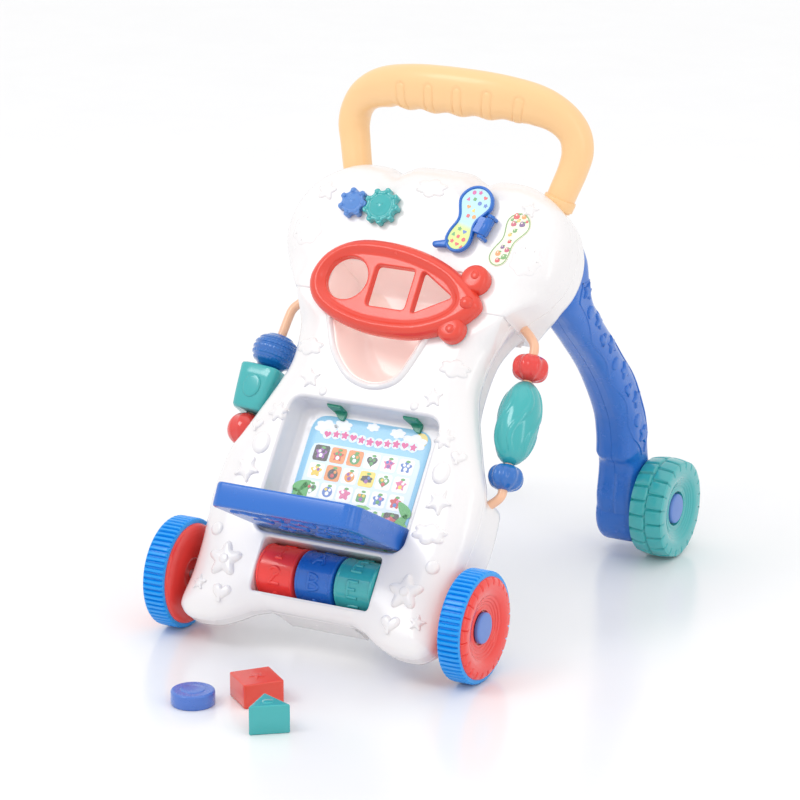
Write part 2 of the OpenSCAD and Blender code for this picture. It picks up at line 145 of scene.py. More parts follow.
def heart_loop(cx, cy, r, n=64):
    """The classic heart: x = sin cubed, y = a sum of four cosines."""
    a = np.linspace(0, TAU, n, endpoint=False)
    return np.stack([cx + r * np.sin(a) ** 3,
                     cy + r / 16 * (13 * np.cos(a) - 5 * np.cos(2 * a) - 2 * np.cos(3 * a)
                                    - np.cos(4 * a))], 1)[::-1]


def outward(loop):
    """Unit normals of a closed loop, away from its inside."""
    t = np.roll(loop, -1, 0) - np.roll(loop, 1, 0)
    n = np.stack([t[:, 1], -t[:, 0]], 1) / np.linalg.norm(t, axis=1)[:, None]
    area = np.sum(loop[:, 0] * np.roll(loop[:, 1], -1) - loop[:, 1] * np.roll(loop[:, 0], -1))
    return n if area > 0 else -n


def raised(loop, z):
    """A loop's points with a height: one for all, or one each."""
    return np.column_stack([loop, np.broadcast_to(z, (len(loop),))])


def arc_rows(r, z0, z1, n=7):
    """Rows (offset, height) of a quarter round from the wall top to the face."""
    a = np.linspace(0, math.pi / 2, n)
    return [(-r * (1 - math.cos(t)), z0 + (z1 - z0) * math.sin(t)) for t in a]


# ---------------------------------------------------------------- meshes
class Surf:
    """Grids and fills gathered into one mesh."""

    def __init__(self):
        self.pts, self.faces, self.inks, self.mats, self.count = [], [], [], [], 0

    def grid(self, p, u=False, v=False, ink=None, mat=0):
        """p[i, j] is a point; u and v say which way closes on itself."""
        nu, nv = p.shape[:2]
        i = np.arange(nu if u else nu - 1)[:, None]
        j = np.arange(nv if v else nv - 1)[None]
        i2, j2 = (i + 1) % nu, (j + 1) % nv
        q = np.stack(np.broadcast_arrays(i * nv + j, i * nv + j2, i2 * nv + j2, i2 * nv + j), -1)
        self.pts.append(p.reshape(-1, 3))
        self.faces.append(q.reshape(-1, 4) + self.count)
        self.mats.append(np.full(q.shape[0] * q.shape[1], mat))
        ink = (1, 1, 1) if ink is None else ink
        self.inks.append(np.broadcast_to(np.asarray(ink, float), (nu * nv, 3)))
        self.count += nu * nv
        return self

    def loft(self, rings, place, **k):
        """Rings of (x, y, height) points joined one to the next, each closed on itself."""
        g = np.array(rings)
        self.grid(place(g[..., 0], g[..., 1], g[..., 2]), v=True, **k)
        return g

    def tris(self, p, faces, ink=None, mat=0):
        self.pts.append(p.reshape(-1, 3))
        self.faces.append(faces + self.count)
        self.mats.append(np.full(len(faces), mat))
        self.inks.append(np.broadcast_to(np.asarray((1, 1, 1) if ink is None else ink, float),
                                         (len(p), 3)))
        self.count += len(p)
        return self

    def rows(self, loop, rows, place, close=(False, False), dome=(0, 0), fill=10, **k):
        """Profile carried round a loop: each row is (offset outward, height). close fills the
        first and last rows to their middle, with a dome of the given height."""
        n = outward(loop)
        out = []
        first, last = rows[0], rows[-1]
        if close[0]:
            out += self._to_middle(loop + n * first[0], first[1], dome[0], fill)[::-1]
        out += [raised(loop + n * o, z) for o, z in rows]
        if close[1]:
            out += self._to_middle(loop + n * last[0], last[1], dome[1], fill)
        self.loft(out, place, **k)
        return self

    @staticmethod
    def _to_middle(loop, z, dome, fill):
        c = (loop.min(0) + loop.max(0)) / 2 if dome is None else loop.mean(0)
        out = []
        for t in np.linspace(1, 0, fill + 1)[1:]:
            out.append(np.column_stack([c + (loop - c) * t,
                                        np.full(len(loop), z + (dome or 0) * (1 - t * t))]))
        return out

    def lathe(self, profile, place, n=96, bump=None, **k):
        """Profile (along, radius) turned about an axis; bump(along, radius, angle) adds to the
        radius."""
        a = np.linspace(0, TAU, n, endpoint=False)[None]
        pr = np.asarray(profile, float)
        x, r = pr[:, 0:1] + 0 * a, pr[:, 1:2] + 0 * a
        if bump is not None:
            r = r + bump(x, r, a)
        return self.grid(place(x, r, a + 0 * x), v=True, **k)


def add_piece(name, surf, material, body="frame", nodes=(), sharp=38, weld=True):
    """Mesh from a Surf: doubles merged, faces outward, smooth with its sharp edges kept."""
    me = bpy.data.meshes.new(name)
    pts = np.concatenate(surf.pts)
    corners = np.concatenate([f.ravel() for f in surf.faces])
    sides = np.concatenate([np.full(len(f), f.shape[1]) for f in surf.faces])
    me.vertices.add(len(pts))
    me.vertices.foreach_set("co", pts.astype(np.float32).ravel())
    me.loops.add(len(corners))
    me.loops.foreach_set("vertex_index", corners.astype(np.int32))
    me.polygons.add(len(sides))
    me.polygons.foreach_set("loop_start", np.r_[0, np.cumsum(sides)[:-1]].astype(np.int32))
    me.polygons.foreach_set("material_index", np.concatenate(surf.mats).astype(np.int32))
    me.update(calc_edges=True)
    ink = me.attributes.new("ink", "FLOAT_COLOR", "POINT")
    rgba = np.column_stack([np.concatenate(surf.inks), np.ones(len(pts))])
    ink.data.foreach_set("color", rgba.astype(np.float32).ravel())
    if weld:
        bm = bmesh.new()
        bm.from_mesh(me)
        bmesh.ops.remove_doubles(bm, verts=bm.verts, dist=2e-6)
        bmesh.ops.dissolve_degenerate(bm, edges=bm.edges, dist=1e-7)
        bmesh.ops.recalc_face_normals(bm, faces=bm.faces)
        bm.to_mesh(me)
        bm.free()
    return wrap(name, me, material, body, nodes, sharp)


def wrap(name, me, material, body="frame", nodes=(), sharp=38):
    """Object from a mesh: shading, materials, and the frame's body and nodes."""
    me.shade_smooth()
    me.set_sharp_from_angle(angle=math.radians(sharp))
    o = bpy.data.objects.new(name, me)
    bpy.context.scene.collection.objects.link(o)
    for m in (material if isinstance(material, (list, tuple)) else [material]):
        me.materials.append(m)
    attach(o, body)
    if nodes:
        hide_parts(*nodes)
    return o


# ---------------------------------------------------------------- materials
class Sock:
    """A node socket that does sums: an expression on sockets adds Math nodes."""

    def __init__(self, mat, s):
        self.mat, self.s = mat, s

    def _op(self, op, other, swap=False):
        a, b = (other, self) if swap else (self, other)
        return self.mat.node("ShaderNodeMath", {"operation": op}, {0: a, 1: b})

    def __add__(self, o): return self._op("ADD", o)
    def __radd__(self, o): return self._op("ADD", o)
    def __sub__(self, o): return self._op("SUBTRACT", o)
    def __rsub__(self, o): return self._op("SUBTRACT", o, True)
    def __mul__(self, o): return self._op("MULTIPLY", o)
    def __rmul__(self, o): return self._op("MULTIPLY", o)
    def __truediv__(self, o): return self._op("DIVIDE", o)
    def fn(self, op, o=0.0): return self._op(op, o)
    def gt(self, o): return self._op("GREATER_THAN", o)
    def lt(self, o): return self._op("LESS_THAN", o)

    def step(self, a, b):
        return self.mat.node("ShaderNodeMapRange", {"interpolation_type": "SMOOTHSTEP"},
                             {"Value": self, "From Min": a, "From Max": b})


class Finish:
    """A material and the one way its nodes are made."""

    def __init__(self, name):
        self.m = bpy.data.materials.new(name)
        self.m.use_nodes = True
        self.t = self.m.node_tree
        self.bsdf = self.t.nodes["Principled BSDF"]

    def node(self, kind, settings=None, inputs=None, out=0):
        """Any node: its settings first, then the values or links of its sockets."""
        n = self.t.nodes.new(kind)
        for k, v in (settings or {}).items():
            if k == "ramp":
                e = n.color_ramp.elements
                while len(e) < len(v):
                    e.new(0.5)
                for i, (pos, col) in enumerate(v):
                    e[i].position, e[i].color = pos, (*col, 1)
            else:
                setattr(n, k, v)
        for k, v in (inputs or {}).items():
            self.put(n.inputs[k], v)
        return Sock(self, n.outputs[out])

    def put(self, socket, v):
        if isinstance(v, Sock):
            self.t.links.new(v.s, socket)
        elif isinstance(v, (tuple, list)) and len(v) == 3 and socket.type == "RGBA":
            socket.default_value = (*v, 1)
        else:
            socket.default_value = v

    def set(self, **k):
        for name, v in k.items():
            self.put(self.bsdf.inputs[name.replace("_", " ")], v)
        return self

    def place(self):
        return self.node("ShaderNodeTexCoord", out=3)

    def noise(self, scale, detail=2.0, rough=0.5, at=None):
        return self.node("ShaderNodeTexNoise", None, {
            "Vector": at or self.place(), "Scale": scale, "Detail": detail, "Roughness": rough})

    def mix(self, f, a, b):
        n = self.t.nodes.new("ShaderNodeMix")
        n.data_type = "RGBA"
        self.put(n.inputs[0], f)
        self.put(n.inputs[6], a)
        self.put(n.inputs[7], b)
        return Sock(self, n.outputs[2])

    def bump(self, height, strength=0.2, distance=0.0004):
        return self.node("ShaderNodeBump", None, {
            "Height": height, "Strength": strength, "Distance": distance})


def linear(c):
    """Screen colour 0-255 to the linear values the shader wants."""
    c = np.asarray(c, float) / 255
    return tuple(np.where(c <= 0.04045, c / 12.92, ((c + 0.055) / 1.055) ** 2.4))


def moulded(name, rgb, rough=0.28, coat=0.35, grain=900, deep=0.9, vary=0.05, painted_glow=0.0):
    """Injection-moulded plastic: faint flow clouds in the colour, orange-peel bump, and
    handling haze that breaks up the gloss. painted_glow is painted light: emission in the
    plastic's own colour that brightens its shaded parts."""
    f = Finish(name)
    base = linear(rgb)
    flow = f.noise(14, 3, 0.6)
    fine = f.noise(grain, 2, 0.5)
    haze = f.noise(55, 4, 0.65)
    col = f.mix(flow.step(0.35, 0.7) * vary * 8, base, tuple(c * deep for c in base))
    f.set(Base_Color=col, Roughness=rough + (haze - 0.5) * 0.16, Coat_Weight=coat,
          Coat_Roughness=0.12, Specular_IOR_Level=0.5,
          Normal=f.bump(fine * 0.35 + haze * 0.65, 0.10, 0.00025))
    # painted light: emission in the base colour makes the part glow and lifts its shade, though it
    # is no lamp
    if painted_glow:
        f.set(Emission_Color=col, Emission_Strength=painted_glow)
    return f.m


# painted light: a faint glow lifts the shade on the white shells
WHITE = moulded("white_gloss", (239, 236, 236), 0.24, 0.45, deep=0.985, painted_glow=0.02)
CORAL = moulded("coral_gloss", (232, 70, 52), 0.24, 0.3, deep=0.93)
HUB = moulded("hub_red_gloss", (240, 58, 50), 0.2, 0.5, deep=0.96)
TEAL = moulded("teal_gloss", (56, 176, 178), 0.17, 0.6, deep=0.93)
BLUE = moulded("blue_gloss", (30, 108, 202), 0.26, 0.3, deep=0.93)
GEAR = moulded("gear_blue_gloss", (88, 140, 212), 0.3, 0.35, deep=0.92)
TYRE = moulded("tyre_blue_satin", (0, 156, 240), 0.36, 0.2, deep=0.94)
CAP = moulded("cap_blue_satin", (92, 132, 208), 0.34, 0.3, deep=0.94)
PEACH = moulded("peach_satin", (251, 205, 148), 0.36, 0.2, deep=0.965)
ROD = moulded("rod_peach", (250, 196, 160), 0.3, 0.3, deep=0.96)
# painted light: a strong glow makes the chute's cup look lit inside its shaded hollow
CUP = moulded("cup_peach", (253, 236, 230), 0.3, 0.3, deep=0.97, painted_glow=0.16)
BEAD_RED = moulded("bead_red_gloss", (228, 54, 48), 0.14, 0.7, deep=0.93)
BEAD_BLUE = moulded("bead_blue_gloss", (22, 106, 190), 0.14, 0.7, deep=0.93)
CATCH = moulded("catch_green", (30, 146, 118), 0.3, 0.3)
# painted light: a glow brightens the drums, which sit in the window's shade
DRUM_RED = moulded("drum_red_gloss", (244, 58, 52), 0.22, 0.3, deep=0.95, painted_glow=0.06)
GREY = moulded("grey_satin", (226, 226, 228), 0.42, 0.1, deep=0.95)
DARK = moulded("speaker_dark", (46, 46, 50), 0.55, 0.0)
BOARD = moulded("lacquered_board", (26, 112, 66), 0.35, 0.3)
CELL = moulded("cell_jacket", (60, 126, 78), 0.3, 0.3)
BLUE_SOFT = moulded("block_blue_gloss", (74, 118, 205), 0.28, 0.4, deep=0.94)


def make_steel():
    """Zinc-plated steel: fine turning scratches and patches of duller plating."""
    f = Finish("zinc_steel")
    patch = f.noise(90, 4, 0.6)
    fine = f.noise(1400, 2, 0.5)
    f.set(Base_Color=f.mix(patch.step(0.3, 0.75), (0.62, 0.63, 0.65), (0.5, 0.5, 0.52)),
          Metallic=1.0, Roughness=0.26 + patch * 0.18,
          Normal=f.bump(fine, 0.15, 0.0002))
    return f.m


def make_print():
    """Printed film: the piece's own ink, a faint halftone and a sealed gloss."""
    f = Finish("printed_film")
    ink = f.node("ShaderNodeAttribute", {"attribute_name": "ink"}, out=0)
    dots = f.noise(2600, 1, 0.5)
    f.set(Base_Color=f.mix(dots.step(0.35, 0.75) * 0.22, ink, (0.9, 0.9, 0.9)),
          Roughness=0.3 + dots * 0.1, Coat_Weight=0.35, Coat_Roughness=0.15,
          Normal=f.bump(dots, 0.05, 0.0001))
    return f.m


def make_floor():
    """Pale lacquered table top with a soft sheen."""
    f = Finish("pale_floor")
    n = f.noise(6, 3, 0.6)
    f.set(Base_Color=f.mix(n, (0.93, 0.93, 0.94), (0.96, 0.96, 0.965)), Roughness=0.16 + n * 0.1,
          Specular_IOR_Level=0.55)
    return f.m


STEEL, PRINT, FLOOR = make_steel(), make_print(), make_floor()


# ---------------------------------------------------------------- faces with holes
def far(q, line, closed=True):
    """Distance of each point of q from a line."""
    a, b = (line, np.roll(line, -1, 0)) if closed else (line[:-1], line[1:])
    d = b - a
    dd = np.maximum((d ** 2).sum(1), 1e-12)
    out = np.empty(len(q))
    for i in range(0, len(q), 2500):
        w = q[i:i + 2500, None] - a[None]
        t = np.clip((w * d).sum(-1) / dd, 0, 1)
        out[i:i + 2500] = np.sqrt(((w - t[..., None] * d) ** 2).sum(-1).min(1))
    return out


def within(q, loop):
    """Even-odd test of each point of q."""
    a, b = loop, np.roll(loop, -1, 0)
    dy = np.where(b[:, 1] == a[:, 1], 1e-12, b[:, 1] - a[:, 1])
    out = np.empty(len(q), bool)
    for i in range(0, len(q), 2500):
        x, y = q[i:i + 2500, :1], q[i:i + 2500, 1:]
        hit = (a[:, 1] > y) != (b[:, 1] > y)
        out[i:i + 2500] = (hit & (x < a[:, 0] + (y - a[:, 1]) * (b[:, 0] - a[:, 0]) / dy)
                           ).sum(1) % 2 == 1
    return out


def over(d, r, wide=1.0):
    """Drop of a quarter-round edge r high and r * wide across, at distance d in from it."""
    t = 1 - np.clip(d / np.maximum(r * wide, 1e-6), 0, 1)
    return r * (1 - np.sqrt(np.maximum(0, 1 - t * t)))


class Face:
    """Moulded face inside a loop: its height is lift(x, y) less the drop of each rounded edge
    and hole rim. sign = -1 turns it over, for a back."""

    def __init__(self, loop, edges, holes=(), lift=None, sign=1, wide=1.0):
        self.loop, self.sign, self.wide = loop, sign, wide
        self.holes = [h for h, r in holes]
        self.edges = list(edges) + [(h, True, r) for h, r in holes]
        self.lift = lift or (lambda x, y: 0 * x)

    def height(self, x, y):
        q = np.column_stack([np.ravel(x), np.ravel(y)])
        z = self.lift(q[:, 0], q[:, 1]).astype(float)
        for i, (line, closed, r) in enumerate(self.edges):
            z = z - self.sign * over(far(q, line, closed), r(*q.T) if callable(r) else r,
                                     1.0 if i else self.wide)
        return z.reshape(np.shape(x))

    def fill(self, surf, place, step=4.0, **k):
        """Triangles over the face: close rows along every rounded edge, a triangular grid of the
        given step between them, joined by Delaunay's rule."""
        fixed = [self.loop] + self.holes
        pts, links, n = [], [], 0
        for f in fixed:
            pts.append(f)
            i = np.arange(len(f))
            links.append(np.column_stack([i, (i + 1) % len(f)]) + n)
            n += len(f)
        for e, (line, closed, r) in enumerate(self.edges):
            rr = (r(*line.T)[:, None] if callable(r) else r) * (1.0 if e else self.wide)
            t = np.gradient(line, axis=0)
            nrm = np.column_stack([t[:, 1], -t[:, 0]])
            nrm /= np.maximum(np.linalg.norm(nrm, axis=1), 1e-9)[:, None]
            for a in np.linspace(0, math.pi / 2, 9)[1:]:
                o = rr * (1 - math.cos(a))
                for c in (line - nrm * o, line + nrm * o):
                    ok = np.ones(len(c), bool)
                    oo = np.broadcast_to(o, (len(c), 1))[:, 0]
                    for f in fixed:
                        ok &= far(c, f) > np.minimum(0.93 * oo, 3) - 1e-9
                    ok &= far(c, line, closed) > 0.93 * oo
                    pts.append(c[ok])
        lo, hi = self.loop.min(0), self.loop.max(0)
        gx, gy = np.meshgrid(np.arange(lo[0], hi[0], step), np.arange(lo[1], hi[1], step * 0.866))
        gx = gx + (np.arange(gx.shape[0])[:, None] % 2) * step / 2
        g = np.column_stack([gx.ravel(), gy.ravel()])
        ok = within(g, self.loop)
        g = g[ok]
        near = np.min([far(g, f) for f in fixed], axis=0)
        pts.append(g[near > step * 0.5])
        pts = np.concatenate(pts)
        keep = np.ones(len(pts), bool)
        keep[n:] = within(pts[n:], self.loop)
        for h in self.holes:
            keep[n:] &= ~within(pts[n:], h)
        pts = pts[keep]
        v, _, f, *_ = delaunay_2d_cdt([Vector(p) for p in pts.tolist()],
                                      np.concatenate(links).tolist(), [], 0, 1e-5)
        v = np.array([tuple(p) for p in v])
        f = np.array([t for t in f if len(t) == 3])
        c = v[f].mean(1)
        ok = within(c, self.loop)
        for h in self.holes:
            ok &= ~within(c, h)
        z = self.height(v[:, 0], v[:, 1])
        surf.tris(place(v[:, 0], v[:, 1], z), f[ok], **k)
        return self

    def wall(self, surf, loop, place, rows, **k):
        """Wall down from the face at a loop: rows are (offset outward, height)."""
        n = outward(loop)
        top = self.height(loop[:, 0], loop[:, 1])
        out = [raised(loop, top)] + [raised(loop + n * o, z) for o, z in rows]
        return surf.loft(out, place, **k)[-1]


def chain(*parts):
    """Polylines end to end, without repeated points."""
    q = np.vstack(parts)
    keep = np.r_[True, np.linalg.norm(np.diff(q, axis=0), axis=1) > 1e-6]
    q = q[keep]
    return q if np.linalg.norm(q[0] - q[-1]) > 1e-6 else q[:-1]


def straight(a, b, n):
    """n points from a to b."""
    return np.linspace(a, b, n)


def pillow(surf, loop, place, base, high=1.6, edge=1.8, fill=5, sink=0.6, **k):
    """Raised motif on a surface: rounded shoulder rising from base(x, y) to a soft crown."""
    n = outward(loop)
    c = loop.mean(0)
    out = []
    for o, z in [(0.3, -sink), (0, 0), (-0.18 * edge, 0.45 * high), (-0.5 * edge, 0.8 * high),
                 (-edge, high)]:
        q = loop + n * o
        out.append(raised(q, base(*q.T) + z))
    last = loop - n * edge
    for t in np.linspace(1, 0, fill + 1)[1:]:
        q = c + (last - c) * t
        out.append(raised(q, base(*q.T) + high + 0.25 * (1 - t * t)))
    surf.loft(out, place, **k)


def strip(surf, path, width, place, base, high=0.9, closed=False, **k):
    """Raised rounded line along a path on a surface: half-circle section."""
    t = np.gradient(path, axis=0) if not closed else np.roll(path, -1, 0) - np.roll(path, 1, 0)
    n = np.column_stack([t[:, 1], -t[:, 0]])
    n /= np.maximum(np.linalg.norm(n, axis=1), 1e-9)[:, None]
    a = np.linspace(0, math.pi, 7)
    out = []
    for c, s in zip(np.cos(a), np.sin(a)):
        q = path + n * c * width / 2
        out.append(raised(q, base(*q.T) - 0.2 + s * (high + 0.2)))
    g = np.array(out)
    surf.grid(place(g[..., 0], g[..., 1], g[..., 2]), v=closed, **k)


def dab(surf, loop, z, colour, place):
    """Flat printed shape."""
    surf.rows(loop, [(0, z)], place, close=(False, True), fill=1, ink=linear(colour))


# ---------------------------------------------------------------- outlines
TORSO = [(43, 17), (58, 12), (72, 4), (90, -3), (112, -4), (124, 2), (129, 14), (129, 60),
         (131, 92), (133, 115), (132, 140), (129, 160), (122, 176), (112, 200), (101, 228),
         (95, 250), (96, 275), (101, 298), (106, 318)]
CORE = [(43, 46), (58, 38), (72, 26), (90, 15), (112, 13), (124, 17), (129, 26), (129, 60),
        (131, 92), (133, 115), (132, 140), (129, 154), (118, 161), (104, 170), (92, 200),
        (86, 230), (84, 255), (86, 285), (94, 305), (104, 318)]
HEAD = [(107, 316.5), (117, 329), (130, 343), (140, 362), (143, 383), (139, 405), (127, 426),
        (108, 441), (85, 450), (58, 450.5), (45, 447), (36, 450), (22, 455)]
NOTCH = [(60, 318), (59, 303), (38, 288), (31, 268), (22, 246), (8, 237), (-9, 236), (-27, 243),
         (-46, 262), (-58, 286), (-75, 303), (-76, 318)]
LEG = [(212, 290), (236, 259), (266, 231), (299, 199), (322, 170), (340, 141), (346, 118),
       (347, 101), (354, 92), (355, 78), (352, 56), (358, 34), (374, 22), (398, 22), (412, 46),
       (400, 76), (394, 92), (390, 124), (379, 155), (359, 186), (334, 212), (305, 242),
       (272, 276), (262, 299), (255, 325), (235, 349), (222, 336)]
FISH = [(8, 279.5), (30, 281.5), (52, 289), (72, 301), (84, 314), (86, 322), (80, 331), (70, 340),
        (52, 351), (30, 360), (5, 366), (-20, 368.5), (-45, 367.5), (-65, 361), (-80, 349),
        (-88, 333), (-88, 318), (-80, 304), (-64, 293), (-42, 285), (-18, 280.5)]
FISH_IN = [(6, 289), (30, 292), (50, 300), (63, 311), (65, 324), (52, 340), (30, 350), (0, 357),
           (-30, 359), (-55, 356), (-70, 347), (-78, 333), (-77, 318), (-68, 305), (-50, 296),
           (-25, 290)]
FLIP = np.array([-1, 1])


def torso_loop(half, n=190):
    """Closed outline of the torso with the chute's notch, its outer part, and the notch."""
    r = spline(half, n, closed=False)
    notch = spline(NOTCH, 90, closed=False)
    low = straight((-43, 17), (43, 17), 24)
    outer = chain(r[::-1] * FLIP, low, r)
    top = half[-1]
    loop = chain(r, straight(top, (61, 318), 12)[1:-1], notch,
                 straight((-77, 318), (-top[0], 318), 8), (r[::-1] * FLIP)[1:], low[1:-1])
    return loop, outer, notch


# ---------------------------------------------------------------- torso
def build_torso():
    """White body: a face with a board recess, a drum window and the chute's notch. Its wall runs
    back past the parting line and eases from the front outline to the smaller core outline, and
    the floor of the recess curves in like a dish."""
    loop, outer, notch = torso_loop(TORSO)

    def edge(x, s):
        return (2.5 + 16.5 * (1 - smooth(284, 317, s))) * (0.55 + 0.45 * smooth(-5, 40, s))

    recess = box_loop(-76.3, 76.3, 84.9, 214.6, 15, 240)
    window = box_loop(-60, 60, 29, 80, 5, 180)

    def lift(x, s):
        """Flat front that sinks a little beside the wheels."""
        sink = smooth(95, 122, np.abs(x)) * smooth(10, 40, s) * (1 - smooth(70, 92, s))
        return -0.72 * sink

    face = Face(loop, [(outer, False, edge), (notch, False, 1.4)],
                [(recess, 3.2), (window, 2.2)], lift, wide=1.45)
    s = Surf()
    face.fill(s, panel, 4.2)
    core, _, _ = torso_loop(CORE)
    n = outward(loop)
    ncore = outward(core)
    top = face.height(loop[:, 0], loop[:, 1])
    rows = [raised(loop, top)]
    z1 = np.minimum(top - 0.5, -20.6)
    for k, z in [(0.25, None), (0.6, None), (0, -20.6), (-0.5, -21.0), (-0.5, -21.7),
                 (0, -22.2)]:
        zz = top + (z1 - top) * k if z is None else np.full(len(loop), z)
        rows.append(np.column_stack([loop + n * (0 if z is None else k), zz]))
    for z in np.linspace(-25, -57, 10):
        f = float(smooth(0, 1, (-24 - z) / 20))
        rows.append(raised(loop * (1 - f) + core * f, z))
    for a in np.linspace(0, math.pi / 2, 7)[1:]:
        rows.append(np.column_stack([core - ncore * 7 * (1 - math.cos(a)),
                                     np.full(len(loop), -57.9 - 7 * math.sin(a))]))
    s.loft(rows, panel)
    back = Face(rows[-1][:, :2], [], [], lambda x, y: -64.9 + 0 * x, -1)
    back.fill(s, panel, 12)
    n = outward(recess) * [1.0, 0.42]
    dish = [recess + n * o for o in (-0.3, -0.8, -1.5, -2.6, -4.4, -7.4, -10.4, -12.6)]
    g = [np.column_stack([recess, face.height(*recess.T)])]
    g += [raised(q, z) for q, z in zip(
        dish, (-6, -12, -17, -22.2, -24.3, -25.5, -25.9, -26))]
    s.loft(g, panel)
    s.rows(dish[-1], [(0, -26)], panel, close=(False, True), fill=6)
    face.wall(s, window, panel, [(0.0, -4), (0.6, -12), (0.6, -20)])
    plug = chain(notch[::-1], straight((-76, 319), (60, 319), 30)[1:-1])
    s.rows(plug, [(0, -46.5), (8, -46.5), (8, -64.85)], panel, close=(True, True), fill=6)
    # raised lip of the chute's mouth
    lip = spline([(44, 300), (40, 291), (33, 268), (23.5, 245), (8.5, 235), (-9.5, 234),
                  (-28.5, 241.5), (-48, 261.5), (-61, 288), (-66, 300)], 120, closed=False)
    strip(s, lip, 6.5, panel, face.height, 3.2)
    for loop, high, shoulder in torso_motifs():
        pillow(s, loop, panel, face.height, high, shoulder)
    add_piece("torso_shell", s, WHITE, nodes=("torso_front", "torso_rear", "board_well"),
              sharp=42)
    return face


def flower_loop(cx, cy, r, petals=5, turn=0.3, n=110):
    """Circle with one cosine wave to a petal."""
    return ring_loop(cx, cy, r * 0.82, n, r * 0.2, petals, turn)


def cloud_loop(cx, cy, r, n=120):
    """Wide cloud: its radius is a rectified sine with six bumps."""
    a = np.linspace(0, TAU, n, endpoint=False)
    k = r * (0.76 + 0.26 * np.abs(np.sin(3 * a + 0.4)))
    return np.stack([cx + 1.35 * k * np.cos(a), cy + 0.8 * k * np.sin(a)], 1)


def torso_motifs():
    """(loop, height, shoulder) of each raised nursery motif on the white front."""
    out = []
    for sx in (-1, 1):
        out += [(flower_loop(sx * 92, 52, 17, 5, 0.4), 3.0, 3.4),
                (ring_loop(sx * 92, 52, 5.6), 4.2, 2.0),
                (star_loop(sx * 111, 27, 8.5), 2.0, 1.8),
                (heart_loop(sx * 86, 22, 9.5), 2.4, 2.2),
                (ring_loop(sx * 110, 79, 6.5), 2.2, 2.4),
                (cloud_loop(sx * 98, 108, 13), 2.2, 2.8),
                (star_loop(sx * 98, 138, 14, 0.52, 5, 1.2), 2.4, 2.6),
                (ring_loop(sx * 92, 165, 9, ry=11), 2.2, 2.8),
                (heart_loop(sx * 103, 182, 7), 1.9, 1.6),
                (flower_loop(sx * 85, 196, 10, 6), 1.6, 2.0),
                (star_loop(sx * 63, 232, 11, 0.52, 5, 1.8), 1.6, 2.0),
                (cloud_loop(sx * 74, 262, 11), 1.5, 2.2),
                (ring_loop(sx * 47, 222, 4.5), 1.3, 1.5)]
    return out


# ---------------------------------------------------------------- head
def build_head():
    """White head: three lobes. Front and back edges round off more towards the top, and the wall
    between them has a parting line."""
    half = np.array(HEAD, float)
    whole = np.vstack([half, half[::-1] * FLIP])
    outer = spline(whole, 440, closed=False)
    bottom_r = straight((60.5, 316.5), (107, 316.5), 16)
    bottom_l = straight((-107, 316.5), (-76.5, 316.5), 12)
    notch = rounded([(-76.4, 316.5), (-76.4, 352.4), (60.4, 352.4), (60.4, 316.5)], 8, 120,
                    closed=False)
    loop = chain(outer, bottom_l[1:], notch[1:], bottom_r[1:])

    def edge(x, s):
        return 5 + 22 * smooth(318, 352, s)

    def lift(x, s):
        """Flat face with two soft valleys running down from the dips between the lobes."""
        valley = np.exp(-((np.abs(x) - 45) / 8.0) ** 2) * smooth(412, 446, s)
        return 1.0 - 3.2 * valley

    face = Face(loop, [(outer, False, edge), (bottom_r, False, 2.0), (bottom_l, False, 2.0),
                       (notch, False, 1.2)],
                [(ring_loop(-71, 402, 3.2, 40), 0.5), (ring_loop(-41.56, 402, 3.2, 40), 0.5)],
                lift)
    s = Surf()
    face.fill(s, panel, 4.2)
    n = outward(loop)
    top = face.height(loop[:, 0], loop[:, 1])
    rows = [raised(loop, top)]
    for k in (0.35, 0.7):
        rows.append(np.column_stack([loop, top + (-38.8 - top) * k]))
    for o, z in [(0, -38.8), (-0.5, -39.2), (-0.5, -40.6), (0, -41.0), (0, -48)]:
        rows.append(raised(loop + n * o, z))

    def rear_edge(x, y):
        return 4 + 20 * smooth(318, 352, y)

    grille = ring_loop(0, 385, 30.3, 96)
    slot = box_loop(-72, -64, 352, 374, 1.5, 60)
    rear = Face(loop, [(outer, False, rear_edge)], [(grille, 0.8), (slot, 0.5)],
                lambda x, y: -76.0 + 0 * x, -1)
    rear.fill(s, panel, 6)
    zr = rear.height(loop[:, 0], loop[:, 1])
    rows.append(np.column_stack([loop, zr]))
    s.loft(rows, panel)
    for loop, high, shoulder in head_motifs():
        pillow(s, loop, panel, face.height, high, shoulder)
    plug = chain(notch[::-1], straight((-76.4, 316.5), (60.4, 316.5), 30)[1:-1])
    s.rows(plug, [(0.6, -66), (0.6, -74.6), (0, -75.4), (-0.8, -75.9)], panel, close=(True, True),
           fill=6)
    add_piece("head_shell", s, WHITE, nodes=("head_front", "head_rear"),
              sharp=42)
    return face


def head_motifs():
    """(loop, height, shoulder) of each raised motif on the head."""
    return [(ring_loop(112, 372, 15, 96, 1.0, 7), 0.7, 5.0),
            (star_loop(102, 420, 9), 1.3, 1.8),
            (ring_loop(-112, 372, 15, 96, 1.0, 7), 0.7, 5.0),
            (flower_loop(-104, 412, 10, 5), 1.3, 2.0),
            (cloud_loop(0, 428, 12), 1.2, 2.4)]


# ---------------------------------------------------------------- chute
def build_chute():
    """Open cup: its lower lip shows under the sorter panel."""
    cup = chain(spline(NOTCH[::-1], 120, closed=False), straight((60, 330), (60, 352), 12),
                straight((60, 352), (-76, 352), 40), straight((-76, 352), (-76, 320), 12))
    cup = resample(cup, 260)
    s = Surf()
    rows = [(-0.05, -44), (0, -42), (0, -0.6), (-0.5, 0.4), (-1.6, 0.6), (-2.4, 0.0), (-2.9, -3),
            (-6, -22), (-11, -36), (-18, -41)]
    s.rows(cup, rows, panel, close=(True, True), fill=8)
    add_piece("chute_bowl", s, CUP, nodes=("chute_cup",), sharp=50)


